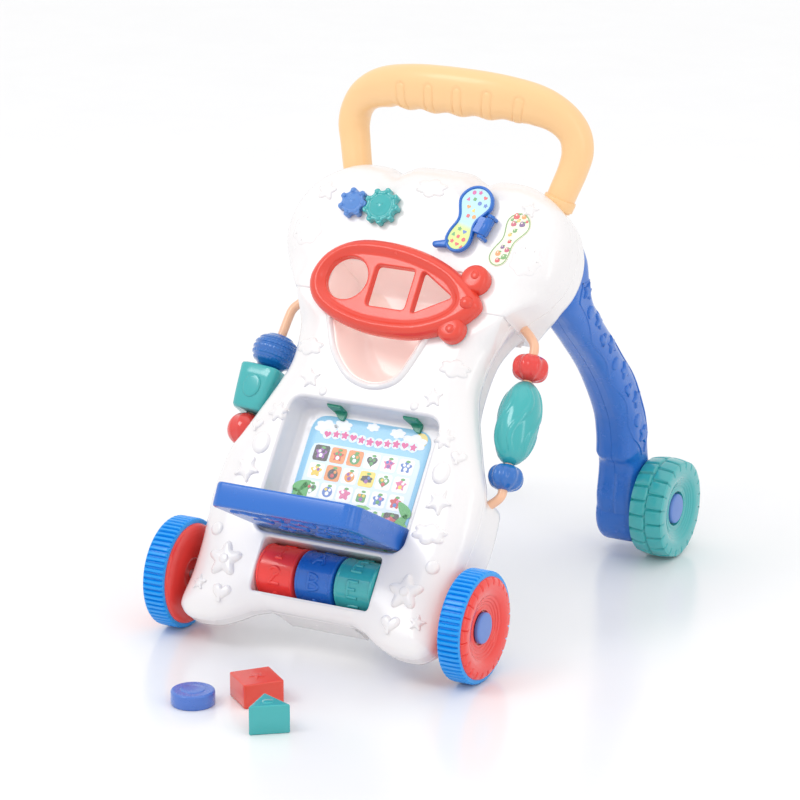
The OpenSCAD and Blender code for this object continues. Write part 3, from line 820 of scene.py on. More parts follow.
# ---------------------------------------------------------------- sorter
def build_sorter():
    """Red fish: a rim all round, a floor that sinks inside it, three holes and three knobs."""
    loop = spline(FISH, 260)
    ring = spline(FISH_IN, 220)

    def lift(x, y):
        q = np.column_stack([x, y])
        d = far(q, ring) * np.where(within(q, ring), 1, -1)
        return 16.0 - 4.6 * smooth(-1.5, 5.5, d)

    holes = [(ring_loop(-52, 328.5, 21, 110), 1.5),
             (box_loop(-25.8, 13.8, 305.4, 345.2, 4.5, 130), 1.5),
             (rounded([(21.4, 303.2), (57.8, 324.4), (21.4, 345.6)], 4.5, 110), 1.5)]
    face = Face(loop, [(loop, True, 9.0)], holes, lift)
    s = Surf()
    face.fill(s, panel, 2.2)
    face.wall(s, loop, panel, [(0, 4.0), (-0.4, 1.6), (-2.2, 1.3)])
    for h, _ in holes:
        face.wall(s, h, panel, [(0, 6.0), (-0.3, 4.6), (1.6, 4.6)])
    for cx, cy, r, hi in ((73, 345, 13.5, 14.2), (64, 296, 13, 14.2)):
        c = ring_loop(cx, cy, r, 80)
        s.rows(c, [(0, 1.4), (0, hi - 6)] + arc_rows(5.5, hi - 6, hi)[1:], panel,
               close=(False, True), dome=(0, 0.5), fill=6)
        s.rows(ring_loop(cx + 2, cy + (2 if cy > 320 else -2), 4.2, 40),
               [(0, hi - 0.4), (-0.3, hi + 0.8), (-1.2, hi + 1.4)], panel, close=(False, True),
               dome=(0, 0.4), fill=4)
    a = np.linspace(0, math.pi / 2, 9)
    s.rows(ring_loop(75, 320, 6.4, 56), [(-6.4 * (1 - math.cos(t)), 14.4 + 5.2 * math.sin(t))
                                        for t in a[:-1]], panel, close=(False, True), fill=2)
    add_piece("sorter_fish", s, CORAL, nodes=("sorter_panel",), sharp=48)


# ---------------------------------------------------------------- board
def build_board():
    """Printed card of generic signs, each a flat dab a little above the last, and two catches."""
    z = -25.4
    s = Surf()
    card = rounded([(-61, 92.2), (61, 92.2), (61, 206.8), (-61, 206.8)], [3, 3, 16, 16], 140)
    s.rows(card, [(0.4, -25.95), (0.4, z), (0, z + 0.15)], panel, close=(False, True), fill=8,
           ink=linear((150, 214, 246)))
    add_piece("picture_sheet", s, PRINT, nodes=("picture_card",))
    d = Surf()
    z += 0.3
    hill = np.linspace(-61, 61, 60)
    dab(d, rounded([(-55, 96), (57, 96), (57, 181), (-55, 181)], 7, 60), z, (226, 243, 250),
        panel)
    hills = np.vstack([np.stack([hill, 124 + 5 * np.sin(hill / 15.0) + 3 * np.sin(hill / 6.0)], 1),
                       [(61, 93), (-61, 93)]])
    g = np.stack([hills[:60], np.stack([hill, 0 * hill + 92.6], 1)])
    d.grid(panel(g[..., 0], g[..., 1], z + 0.04 + 0 * g[..., 0]), ink=linear((112, 196, 92)))
    for cx, cy, r in ((-46, 196, 9), (-30, 200, 7), (44, 195, 10), (26, 201, 6), (0, 203, 5)):
        dab(d, cloud_loop(cx, cy, r, 60), z + 0.06, (250, 253, 255), panel)
    rng = np.random.default_rng(7)
    inks = [(214, 46, 60), (240, 150, 40), (246, 210, 60), (70, 160, 80), (70, 120, 200),
            (150, 80, 170), (40, 50, 60), (236, 110, 160)]
    for row in range(4):
        for col in range(6):
            cx, cy = -43.5 + col * 17.4, 171.5 - row * 17.2
            dab(d, box_loop(cx - 7.7, cx + 7.7, cy - 7.4, cy + 7.4, 2, 24), z + 0.08,
                ([(255, 255, 255)] * 9 + [(255, 226, 96), (244, 150, 80),
                                          (30, 30, 36)])[int(rng.integers(12))], panel)
            kind = int(rng.integers(6))
            ink = inks[int(rng.integers(len(inks)))]
            loop = [ring_loop(cx, cy - 0.8, 5.0, 30), star_loop(cx, cy, 6.4, 0.5, n=40),
                    heart_loop(cx, cy, 5.4, 36), flower_loop(cx, cy, 6.0, 5, 0.3, 40),
                    box_loop(cx - 4.6, cx + 4.6, cy - 5, cy + 3, 1.6, 24),
                    cloud_loop(cx, cy, 4.6, 36)][kind]
            dab(d, loop, z + 0.14, ink, panel)
            for dx, dy, r in ((-1.9, 1.6, 1.5), (2.0, 1.4, 1.5), (0, -2.2, 1.9)):
                dab(d, ring_loop(cx + dx, cy + dy, r, 18), z + 0.2,
                    (inks + [(255, 255, 255)] * 3)[int(rng.integers(len(inks) + 3))], panel)
            dab(d, ring_loop(cx + 1, cy + 5.2, 2.2, 16, ry=1.2), z + 0.2, (84, 170, 76), panel)
    for i in range(11):
        x = -43 + i * 8.8
        y = 190 + 1.2 * math.sin(i * 0.9)
        loop = (heart_loop(x, y, 3.5, 36), star_loop(x, y, 4.2, n=40),
                flower_loop(x, y, 3.8, 5, 0.3, 40))[i % 3]
        dab(d, ring_loop(x, y, 4.9, 30), z + 0.1, (236, 248, 255), panel)
        dab(d, loop, z + 0.16, (228, 70, 150), panel)
    dab(d, ring_loop(50, 198, 7, 40), z + 0.05, (252, 226, 120), panel)
    for cx, cy, t in ((-53, 139, 0.5), (-50, 133, 1.5), (-54, 128, 2.3), (54, 132, 2.4),
                      (48, 101, 1.6), (54, 120, 1.1)):
        a = np.linspace(0, TAU, 40, endpoint=False)
        u, w = 9.5 * np.cos(a), 4.6 * np.sin(a) * (1 - 0.35 * np.cos(a))
        q = np.stack([cx + u * math.cos(t) - w * math.sin(t),
                      cy + u * math.sin(t) + w * math.cos(t)], 1)
        dab(d, q, z + 0.24, (56, 176, 78), panel)
    add_piece("picture_prints", d, PRINT, weld=False)
    w = Surf()
    add_catches(w)
    add_piece("recess_catches", w, CATCH, nodes=("cover_catches",))


def add_catches(w):
    """Two leaf-shaped catches lying in the recess, each with a tab up its wall."""
    for x in (-40, 38):
        c = rounded([(x - 9, 214), (x - 1, 210.5), (x + 5, 204.5), (x + 10, 203.5),
                     (x + 10.5, 214)], 2.2, 70)
        w.rows(c, [(0, -25.9), (0, -22.9), (-0.5, -22.4)], panel, close=(True, True), fill=4)
        c = rounded([(x - 4, 211.3), (x + 9.5, 211.3), (x + 9.5, 216), (x - 7, 216)], 1.0, 50)
        w.rows(c, [(0, -25.5), (0, -12), (-0.6, -11)], panel, close=(True, True), fill=4)


# ---------------------------------------------------------------- cover
def on_cover(x, y, z):
    """Cover axes (across, out from its hinge, thickness) as it stands open."""
    c, sn = math.cos(COVER_OPEN), math.sin(COVER_OPEN)
    return panel(x, 100.9 + y * c - z * sn, -11 + y * sn + z * c)


def build_cover():
    """Tray: rounded rim, hollow on the side that faces the board when shut."""
    half = [(68, -6.5), (72.5, -2), (72.5, 96), (71, 97.4), (70.2, 102), (67.6, 104.6),
            (66.6, 107.4), (62.5, 109.5)]
    loop = rounded(half + [(-x, y) for x, y in half[::-1]], 1.2, 420)
    s = Surf()
    rows = [(-2.6, 11), (-1.0, 10.6), (-0.2, 9.6), (0, 8.4), (0, -8.6), (-0.4, -10.2),
            (-1.4, -11), (-2.6, -10.9), (-3.4, -9.8), (-3.8, -7), (-5.5, 6.2), (-8.5, 8.2)]
    s.rows(loop, rows, on_cover, close=(True, True), fill=8)
    for m in (cloud_loop(-44, 86, 12), star_loop(-16, 88, 13), flower_loop(14, 86, 12, 6),
              heart_loop(42, 88, 11), ring_loop(-40, 58, 10), flower_loop(-8, 56, 14, 5),
              star_loop(28, 58, 13), cloud_loop(50, 60, 8), heart_loop(-30, 28, 9),
              ring_loop(4, 26, 8), star_loop(38, 28, 10)):
        pillow(s, m, on_cover, lambda x, y: 10.8 + 0 * x, 1.9, 1.4)
    add_piece("cover_tray", s, BLUE, "cover", ("cover",), sharp=45)


# ---------------------------------------------------------------- rollers
def build_rollers():
    """Three drums turned from a half section, with raised marks bent round them."""
    def glyph(kind):
        """Centre lines, in units of the glyph's height, of a generic digit or capital."""
        arc = lambda cx, cy, rx, ry, a0, a1, n=24: np.stack(
            [cx + rx * np.cos(np.linspace(a0, a1, n)), cy + ry * np.sin(np.linspace(a0, a1, n))], 1)
        seg = lambda *p: resample(np.array(p, float), 24, False)
        if kind == "2":
            return [np.vstack([arc(0, .27, .24, .23, math.pi * .95, -.25 * math.pi),
                               seg((.1, .08), (-.26, -.5)), seg((-.26, -.5), (.28, -.5))])]
        if kind == "1":
            return [seg((-.12, .34), (.04, .5), (.04, -.5)), seg((-.14, -.5), (.2, -.5))]
        if kind == "A":
            return [seg((-.3, -.5), (0, .5), (.3, -.5)), seg((-.17, -.12), (.17, -.12))]
        if kind == "B":
            return [seg((-.24, -.5), (-.24, .5)), arc(-.24, .26, .44, .24, math.pi / 2,
                    -math.pi / 2), arc(-.24, -.25, .5, .25, math.pi / 2, -math.pi / 2)]
        return [seg((.26, .5), (-.24, .5), (-.24, -.5), (.26, -.5)), seg((-.24, 0), (.16, 0))]

    for i, (name, mat, slot, marks) in enumerate((
            ("roller_red", DRUM_RED, "coral_plastic", "21"),
            ("roller_blue", BLUE, "blue_plastic", "BA"),
            ("roller_teal", TEAL, "teal_plastic", "EE"))):
        cx = (i - 1) * 40

        def place(a, r, t, cx=cx):
            return panel(cx + a, 55 + r * np.sin(t), -22 + r * np.cos(t))

        s = Surf()
        w = 19.3
        prof = [(-w + 2, 6), (-w, 7.5), (-w, 20), (-w + 0.3, 22.6), (-w + 1.6, 24.1),
                (-w + 3, 24.3), (-w + 3.8, 23.6), (-w + 5, 23.6), (w - 5, 23.6), (w - 3.8, 23.6),
                (w - 3, 24.3), (w - 1.6, 24.1), (w - 0.3, 22.6), (w, 20), (w, 7.5), (w - 2, 6)]
        s.lathe(prof, place, 120)
        for k in range(6):
            t0 = (k - 0.5) * TAU / 6 + 0.12
            for line in glyph(marks[k % 2]):
                lx, ly = line[:, 0] * 20, line[:, 1] * 15
                put = lambda x, y, z: place(x, z, t0 + y / 24.0)
                strip(s, np.stack([lx, ly], 1), 3.4, put, lambda x, y: 23.4 + 0 * x, 1.4)
        add_piece("drum_" + name[7:], s, mat, name, (name,))


# ---------------------------------------------------------------- rods and beads
def on_rod(sd, s0):
    """Axes of a bead: along its rod from its middle, then its radius and angle."""
    c, sn = math.cos(ROD_TILT), math.sin(ROD_TILT)

    def place(a, r, t):
        v = s0 - ROD_S + a
        u, w = r * np.cos(t), r * np.sin(t)
        return panel(sd * (ROD_X + u * c - v * sn), ROD_S + u * sn + v * c, ROD_P + w)
    return place


def build_rods():
    """Round rods: a circle carried along the centre line, which bends in at both ends."""
    run = [(-24, 95), (-22.4, 93.9), (-12, 86), (-5.5, 79.8), (-1.4, 74), (0, 66), (0, 40),
           (0, 0), (0, -40), (0, -66), (-1.0, -71), (-4.5, -75.6), (-13.2, -82.4), (-16, -84.6)]
    path = spline(run, 150, closed=False)
    t = np.gradient(path, axis=0)
    n = np.column_stack([t[:, 1], -t[:, 0]])
    n /= np.linalg.norm(n, axis=1)[:, None]
    a = np.linspace(0, TAU, 28, endpoint=False)
    c, sn = math.cos(ROD_TILT), math.sin(ROD_TILT)
    for sd, name in ((-1, "rod_left"), (1, "rod_right")):
        q = path[:, None] + n[:, None] * ROD_R * np.cos(a)[None, :, None]
        w = ROD_R * np.sin(a)[None] + 0 * q[..., 0]
        s = Surf()
        s.grid(panel(sd * (ROD_X + q[..., 0] * c - q[..., 1] * sn),
                     ROD_S + q[..., 0] * sn + q[..., 1] * c, ROD_P + w), v=True)
        add_piece("bead_" + name, s, ROD, nodes=(name,))


def round_profile(ry, rx, n=22, bore=4.35, power=2.0):
    """Half section of a bead: superellipse |a/ry|^p + |r/rx|^p = 1, closed in to its bore."""
    a = np.linspace(-1, 1, n)
    r = rx * (1 - np.abs(a * 0.985) ** power) ** (1 / power)
    return [(-ry, bore)] + [(u * ry, max(v, bore)) for u, v in zip(a, r)] + [(ry, bore)]


def build_beads():
    """Six beads: superellipse half sections turned about the rods, with ribs or lobes by cosine.
    The tapered one is a rounded square whose size grows along the rod."""
    sn, cs = np.sin, np.cos
    # ribbed: raised bands of little ribs
    def ribbed(a, r, t):
        band = 0.5 + 0.5 * cs(a * TAU / 5.2)
        return (-0.9 * (1 - smooth(0.2, 0.6, band)) - 0.4 * smooth(0.4, 0.8, band)
                * (0.5 + 0.5 * cs(36 * t))) * smooth(6, 12, r)
    s = Surf().lathe(round_profile(17.0, 21.6, n=71, power=2.15), on_rod(-1, 262.8), 288, ribbed)
    add_piece("bead_with_ribs", s, BEAD_BLUE, "bead_ribbed", ("bead_ribbed",))

    place = on_rod(-1, 222.6)
    s = Surf()
    t = np.linspace(0, TAU, 128, endpoint=False)

    def square(h):
        """Rounded-square section, rounder towards the small end."""
        k = 2.6 + 3.0 * float(smooth(13, 20, h))
        return (np.abs(cs(t)) ** k + np.abs(sn(t)) ** k) ** (-1 / k)
    prof = [(-21.8, 5), (-21.8, 11), (-21.6, 14.2), (-20.8, 16), (-19, 17), (-10, 18), (0, 19),
            (10, 20), (18.6, 20.9), (20.4, 20.3), (21.5, 18.4), (21.8, 14), (21.8, 5)]
    g = np.array([np.column_stack([a + 0 * t, h * (square(h) if h > 6 else 1 + 0 * t), t])
                  for a, h in prof])
    s.grid(place(g[..., 0], g[..., 1], g[..., 2]), v=True)
    for k, mk in enumerate((lambda: rounded([(-9, -8), (9, -8), (0, 10)], 3, 60),
                            lambda: ring_loop(0, 0, 9, 60, ry=11), lambda: star_loop(0, 0, 8.5),
                            lambda: heart_loop(0, 0, 8))):
        ang = k * math.pi / 2

        def put(x, y, z, ang=ang):
            h = 19.1 + 0.1 * y + z
            return place(y, np.hypot(h, x), ang + np.arctan2(x, h))
        pillow(s, mk(), put, lambda x, y: 0 * x, 1.3, 1.4)
    add_piece("bead_tapered", s, TEAL, "bead_block", ("bead_block",), sharp=50)

    s = Surf().lathe(round_profile(15.8, 17.4, n=41, power=2.1), on_rod(-1, 184.8), 120,
                     lambda a, r, t: -0.8 * smooth(0.55, 0.95, 0.5 + 0.5 * cs(5 * t + a * 0.09))
                     * smooth(5, 11, r))
    add_piece("bead_ball", s, BEAD_RED, "bead_round", ("bead_round",))
    s = Surf().lathe(round_profile(12.5, 16.2, n=31, power=2.2), on_rod(1, 285.5), 144,
                     lambda a, r, t: 1.0 * cs(8 * t) * smooth(5, 12, r))
    add_piece("bead_scalloped", s, BEAD_RED, "bead_lobed", ("bead_lobed",))

    def ridges(a, r, t):
        w = 0.5 + 0.5 * cs(6 * t + 2.2 * sn(a / 11.0))
        return (1.1 * smooth(0.72, 0.95, w) - 0.3) * smooth(9, 16, r)
    s = Surf().lathe(round_profile(39, 19.6, n=61, power=2.15), on_rod(1, 233), 160, ridges)
    add_piece("bead_oval", s, TEAL, "bead_barrel", ("bead_barrel",))
    s = Surf().lathe(round_profile(12, 15.6, n=31, power=2.2), on_rod(1, 181.3), 144,
                     lambda a, r, t: 0.7 * cs(10 * t) * smooth(5, 12, r))
    add_piece("bead_oblate", s, BEAD_BLUE, "bead_small", ("bead_small",))


# ---------------------------------------------------------------- gears
def gear_loop(n, cx, turn, q=ROLLING, m=9):
    """Cycloid teeth: a small circle rolled outside, then inside, the pitch circle."""
    r = n * q * 2
    pts = []
    for i in range(2 * n):
        k = i * math.pi / n
        t = k + np.arange(m) / m * math.pi / n
        if i % 2 == 0:
            f = (r + q) / q * (t - k) + k
            pts.append(np.stack([(r + q) * np.cos(t) - q * np.cos(f),
                                 (r + q) * np.sin(t) - q * np.sin(f)], 1))
        else:
            f = (r - q) / q * (t - k) - k
            pts.append(np.stack([(r - q) * np.cos(t) + q * np.cos(f),
                                 (r - q) * np.sin(t) - q * np.sin(f)], 1))
    p = np.concatenate(pts)
    p = p - outward(p) * 0.2
    c, s = math.cos(turn), math.sin(turn)
    return np.stack([cx + p[:, 0] * c - p[:, 1] * s, GEAR_S + p[:, 0] * s + p[:, 1] * c], 1)


def build_gears():
    """Two meshed gears: crowned faces with a ring groove, and a stud near each tooth."""
    for name, n, cx, turn, mat, slot in (
            ("gear_blue", 7, -71.0, math.radians(-90 / 7), GEAR, "gear_plastic"),
            ("gear_teal", 9, -41.56, math.radians(180 + 90 / 9), TEAL, "teal_plastic")):
        loop = gear_loop(n, cx, turn)
        big = n * ROLLING * 2
        lift = lambda x, y, cx=cx, big=big: (
            9.6 + 2.2 * (1 - smooth(0, big * 0.62, np.hypot(x - cx, y - GEAR_S)))
            - 0.7 * np.exp(-((np.hypot(x - cx, y - GEAR_S) - big * 0.66) / 0.8) ** 2))
        face = Face(loop, [(loop, True, 1.5)], [], lift)
        s = Surf()
        face.fill(s, panel, 0.9)
        end = face.wall(s, loop, panel, [(0, 4.5), (0, 2.2), (-0.4, 1.7)])
        s.rows(end[:, :2], [(0, 1.7)], panel, close=(False, True), fill=3)
        for k in range(n):
            a = turn + (k + 0.25) * TAU / n
            c = ring_loop(cx + big * 0.84 * math.cos(a), GEAR_S + big * 0.84 * math.sin(a), 1.9, 24)
            pillow(s, c, panel, face.height, 1.2, 0.9, 3, 0.2)
        for dx in (-2.4, 2.4):
            pillow(s, ring_loop(cx + dx, 403.2, 1.1, 20), panel, face.height, 0.5, 0.6, 2, 0.2)
        add_piece("cog_" + name[5:], s, mat, name, (name,), sharp=50)


# ---------------------------------------------------------------- flip page
def on_flip(x, y, z):
    """Leaf axes (across from its pin, along the pin, out of the panel)."""
    c, sn = math.cos(LEAF_TILT), math.sin(LEAF_TILT)
    return panel(69.2 + x * c - y * sn, 395 + x * sn + y * c, 9.5 + z)


def peanut_loop(up, low, half, cx, cy, turn, n=150):
    """Two circles joined by a soft waist."""
    a = np.linspace(0, TAU, n, endpoint=False)
    ca, sa = np.cos(a), np.sin(a)
    y = half * sa + np.where(sa > 0, up, low) * np.sign(sa) * np.abs(sa)
    waist = 1 - 0.38 * np.exp(-(y / (half * 0.62)) ** 2)
    neck = np.interp(y, [-half, half], [low, up]) * waist / (1 - 0.38 * math.exp(-(1 / 0.62) ** 2))
    x = np.where(y > half, np.sqrt(np.maximum(up ** 2 - (y - half) ** 2, 0)),
                 np.where(y < -half, np.sqrt(np.maximum(low ** 2 - (y + half) ** 2, 0)), neck))
    q = resample(np.stack([x * np.sign(ca), y], 1), n)
    for _ in range(3):
        q = (np.roll(q, 1, 0) + 2 * q + np.roll(q, -1, 0)) / 4
    t = math.radians(turn)
    return np.stack([cx + q[:, 0] * math.cos(t) - q[:, 1] * math.sin(t),
                     cy + q[:, 0] * math.sin(t) + q[:, 1] * math.cos(t)], 1)


def build_flip():
    """Leaf with a tab, an arm and a barrel round its pin; its film, the fruit film that it shuts
    on, and the two lugs."""
    s = Surf()
    outer = peanut_loop(17.6, 13, 18.0, -21.5, -1.5, 3)
    s.rows(outer, [(-1.2, -5), (0, -4.0), (0, -1.2), (-0.35, -0.35), (-1.2, 0), (-2.1, -0.15),
                   (-2.6, -0.8), (-2.8, -1.5)], on_flip, close=(True, True), fill=6)
    tab = rounded([(-42.5, -31), (-40, -35.5), (-27, -30.5), (-28, -23)], 2.4, 60)
    s.rows(tab, [(-0.8, -5), (0, -4.3), (0, -1.0), (-0.8, -0.1)], on_flip, close=(True, True),
           fill=4, dome=(0, 0.4))
    arm = box_loop(-11.5, 3.2, -8.2, 8.2, 1.2, 60)
    s.rows(arm, [(-0.5, -5), (0, -4.5), (0, -0.8), (-0.7, 0)], on_flip, close=(True, True), fill=4)
    barrel = lambda a, r, t: on_flip(r * np.cos(t), a, r * np.sin(t))
    s.lathe([(-8.4, 1.6), (-8.4, 3.4), (-7.8, 4), (7.8, 4), (8.4, 3.4), (8.4, 1.6)], barrel, 40)
    add_piece("flip_leaf", s, BLUE, "flip_page", ("flip_page",), sharp=45)

    d = Surf()
    film = peanut_loop(14.7, 10.2, 18.0, -21.5, -1.5, 3)
    z = -1.35
    g = np.array([raised(film * (1 - t) + film.mean(0) * t, z) for t in np.linspace(0, 1, 12)])
    low = smooth(-9, -3, g[..., 1])[..., None]
    ink = (np.array(linear((176, 226, 238))) * low
           + np.array(linear((214, 232, 120))) * (1 - low)).reshape(-1, 3)
    d.grid(on_flip(g[..., 0], g[..., 1], g[..., 2]), v=True, ink=ink)
    rng = np.random.default_rng(5)
    inks = [(226, 52, 66), (240, 150, 40), (70, 160, 80), (60, 110, 200), (210, 60, 150),
            (250, 210, 60)]
    marks = [(-29, 30), (-23, 32), (-16, 29), (-31, 23), (-25, 24.5), (-18.5, 22.5), (-12, 22.5),
             (-27, 16), (-20.5, 15), (-23, 8), (-17, 9), (-24, -6), (-18, -7), (-27, -12),
             (-21.5, -13), (-15, -14), (-25, -19), (-19, -20), (-13.6, -20.5)]
    for k, (x, y) in enumerate(marks):
        r, y = 2.0, y - 4.5
        loop = [ring_loop(x, y, r, 20), star_loop(x, y, r * 1.3, n=30),
                heart_loop(x, y, r * 1.05, 24), rounded([(x - r, y - r), (x + r, y - r),
                                                        (x, y + r)], 0.6, 20),
                box_loop(x - r * .8, x + r * .8, y - r * .8, y + r * .8, 0.6, 20)][k % 5]
        dab(d, loop, z + 0.15, inks[int(rng.integers(6))], on_flip)
    add_piece("flip_film", d, PRINT, "flip_page", (), weld=False)

    d = Surf()
    out = peanut_loop(12.6, 9.6, 16.5, 22.5, -2, -4)
    d.rows(out, [(0, -8.4), (0, -7.9), (-0.3, -7.8)], on_flip, close=(False, True), fill=4,
           ink=linear((250, 246, 218)))
    rim = out - outward(out) * 0.5
    g = np.stack([rim, rim - outward(rim) * 1.0])
    d.grid(on_flip(g[..., 0], g[..., 1], -7.68 + 0 * g[..., 0]), v=True,
           ink=linear((92, 158, 70)))
    fruit = [(18, 22, 3.0, 0), (25, 24, 2.2, 1), (27, 17, 2.8, 2), (19, 14.5, 2.6, 3),
             (23.5, 9, 2.0, 4), (21, 4, 1.8, 5), (24, -2, 1.8, 0), (20.5, -9, 2.0, 2),
             (26, -10, 2.4, 3), (19.5, -16, 2.6, 1), (26.5, -17, 2.6, 4), (22.5, -22, 2.4, 0),
             (15.5, 17.5, 1.4, 4), (30, 21, 1.4, 0), (22, 19, 1.6, 5)]
    inks = [(214, 40, 46), (240, 140, 40), (110, 60, 130), (196, 44, 90), (90, 160, 60),
            (236, 190, 60)]
    for x, y, r, c in fruit:
        dab(d, ring_loop(x, y, r, 26, r * 0.08, 3), -7.6, inks[c], on_flip)
        dab(d, ring_loop(x - r * 0.3, y + r * 0.35, r * 0.28, 12), -7.54, (255, 240, 220), on_flip)
        leaf = ring_loop(x + r * 0.5, y + r * 0.95, r * 0.5, 16, ry=r * 0.25)
        dab(d, leaf, -7.5, (80, 160, 70), on_flip)
    add_piece("fruit_film", d, PRINT, nodes=("fruit_sticker",), weld=False)

    s = Surf()
    for y in (-11.9, 8.9):
        c = rounded([(-3.5, -8.4), (3.5, -8.4), (3.5, 1.5), (1.6, 3.5), (-1.6, 3.5), (-3.5, 1.5)],
                    1.0, 50)
        s.rows(c, [(-0.4, y), (0, y + 0.5), (0, y + 2.5), (-0.4, y + 3)],
               lambda u, v, w: on_flip(u, w, v), close=(True, True), fill=3)
    add_piece("flip_lugs", s, BLUE, nodes=("flip_hinge",), sharp=45)


# ---------------------------------------------------------------- handle
HAND = np.array([(102, 250, 364, 13, 0), (107, 255, 380, 13.2, 0), (113, 262, 400, 13.6, 0),
                 (116, 265, 417, 14, 0.4), (112, 265.5, 433.5, 14.2, 0.6), (99, 262, 448, 14.4, 2),
                 (77, 257, 457.5, 14.6, 4.5), (42, 250, 462, 14.8, 7), (0, 248, 463, 15, 7.6)])


def build_handle():
    """Rounded section swept along the arch, with finger scallops under the grip and five
    engraved hoops across its face."""
    full = np.vstack([HAND * [-1, 1, 1, 1, 1], HAND[-2::-1]])
    q = spline(full, 640, closed=False)
    c, r, e = q[:, :3], q[:, 3], q[:, 4]
    t = np.gradient(c, axis=0)
    t /= np.linalg.norm(t, axis=1)[:, None]
    w = np.array([0, 1.0, 0]) - t * t[:, 1:2]
    w /= np.linalg.norm(w, axis=1)[:, None]
    h = np.cross(t, w)
    a = np.linspace(0, TAU, 112, endpoint=False)[None]
    ca, sa = np.cos(a), np.sin(a)
    p = 2.25
    k = (np.abs(ca) ** p + np.abs(sa) ** p) ** (-1 / p)
    x = c[:, 0:1] + 0 * a
    grip = 1 - smooth(60, 84, np.abs(x))
    lowside = smooth(0.25, 0.95, -sa)
    scallop = 2.3 * grip * lowside * (0.5 + 0.5 * np.cos((x - 7.5) * TAU / 28.7 + math.pi))
    rise = (r + e)[:, None] * k * sa
    front = smooth(0.0, 0.35, -ca)
    groove = 0
    for x0 in (-50, -21.2, 7.5, 36.2, 64.5):
        u = np.abs(x - x0 - rise * 0.03)
        side = np.abs(u - 4.3)
        arc = np.abs(np.hypot(u, np.maximum(rise - 3, 0)) - 4.3)
        d = np.where(rise > 3, arc, side)
        groove = groove + 1.0 * np.exp(-(d / 0.9) ** 2) * front * smooth(-22, -17, rise)
    side_r = r[:, None] * k * ca
    f = 1 - groove / np.maximum(r[:, None], 1)
    up = rise * f + scallop
    across = side_r * f
    pts = c[:, None] + w[:, None] * across[..., None] + h[:, None] * up[..., None]
    s = Surf()
    s.grid(ground(pts[..., 0], pts[..., 1], pts[..., 2]), v=True)
    # collars where the feet leave the head
    for sx in (-1, 1):
        i = np.argmin(np.abs(c[:, 2] - 374) + 1e3 * (np.sign(c[:, 0]) != sx))
        tt = t[i] * (1 if t[i][2] > 0 else -1)
        ww, hh = w[i], np.cross(tt, w[i])
        prof = [(-9, 13.0), (-9, 15.0), (-1.0, 15.2), (0.2, 14.9), (0.6, 14.0), (0.4, 12.6)]
        cc = c[i]

        def place(al, rad, an, cc=cc, tt=tt, ww=ww, hh=hh):
            v = (cc + tt * al[..., None] + ww * (rad * np.cos(an))[..., None]
                 + hh * (rad * np.sin(an))[..., None])
            return ground(v[..., 0], v[..., 1], v[..., 2])
        s.lathe(prof, place, 72)
    add_piece("arch_grip", s, PEACH, nodes=("handle",), sharp=60)


# ---------------------------------------------------------------- legs
def build_legs():
    """Rear legs: one side outline with faces rounded at their edges, a parting line between them,
    and a round foot boss round the axle."""
    loop = spline(LEG, 420)

    def lift(y, z):
        """Flat outer face."""
        return 137.0 + 0 * z

    def edge(y, z):
        return 11 + 4 * smooth(70, 110, z)

    for sx, name in ((-1, "leg_left"), (1, "leg_right")):
        outerf = Face(loop, [(loop, True, edge)], [], lift)
        innerf = Face(loop, [(loop, True, edge)], [], lambda y, z: 94.0 + 0 * y, -1)
        put = lambda y, z, x, sx=sx: ground(sx * x, y, z)
        s = Surf()
        outerf.fill(s, put, 3.2)
        innerf.fill(s, put, 6)
        n = outward(loop)
        top = outerf.height(loop[:, 0], loop[:, 1])
        bot = innerf.height(loop[:, 0], loop[:, 1])
        rows = [raised(loop, top)]
        for o, f in ((0, 0.3), (0, 0.48), (-0.35, 0.495), (-0.35, 0.505), (0, 0.52), (0, 0.75)):
            rows.append(np.column_stack([loop + n * o, top + (bot - top) * f]))
        rows.append(np.column_stack([loop, bot]))
        s.loft(rows, put)
        # raised band of motifs along the outside
        mid = spline([(236, 302), (262, 266), (290, 234), (321, 200), (347, 167), (365, 132),
                      (371, 102)], 160, closed=False)
        t = np.gradient(mid, axis=0)
        nn = np.column_stack([t[:, 1], -t[:, 0]]) / np.linalg.norm(t, axis=1)[:, None]
        u = np.linspace(0, 1, 160)
        for sgn, ph in ((-1, 0.0), (1, 1.7)):
            wave = 13.5 + 1.8 * np.sin(u * 22 + ph)
            wave = wave * smooth(0, 0.05, u) * (1 - 0.75 * smooth(0.9, 1, u))
            path = mid + nn * (sgn * wave)[:, None]
            strip(s, path, 2.0, put, outerf.height, 1.0)
        for j, f in enumerate(np.linspace(0.06, 0.93, 11)):
            i = int(f * 159)
            off = nn[i] * (3.6 if j % 2 else -3.6)
            cx, cy = mid[i] + off
            loopm = [star_loop(cx, cy, 10, 0.5, 5, 0.4 * j), ring_loop(cx, cy, 6.6, 60),
                     flower_loop(cx, cy, 9.2, 5, 0.5 * j), heart_loop(cx, cy, 7.2)][j % 4]
            pillow(s, loopm, put, outerf.height, 1.5, 1.2)
        foot = ring_loop(384, 38.5, 30.2, 150)
        ff = Face(foot, [(foot, True, 11)], [], lambda y, z: 137.2 + 0 * y)
        fb = Face(foot, [(foot, True, 8)], [], lambda y, z: 93.8 + 0 * y, -1)
        ff.fill(s, put, 4)
        fb.fill(s, put, 8)
        s.loft([raised(foot, f.height(*foot.T)) for f in (ff, fb)], put)
        add_piece("rear_" + name, s, BLUE, nodes=(name,), sharp=50)


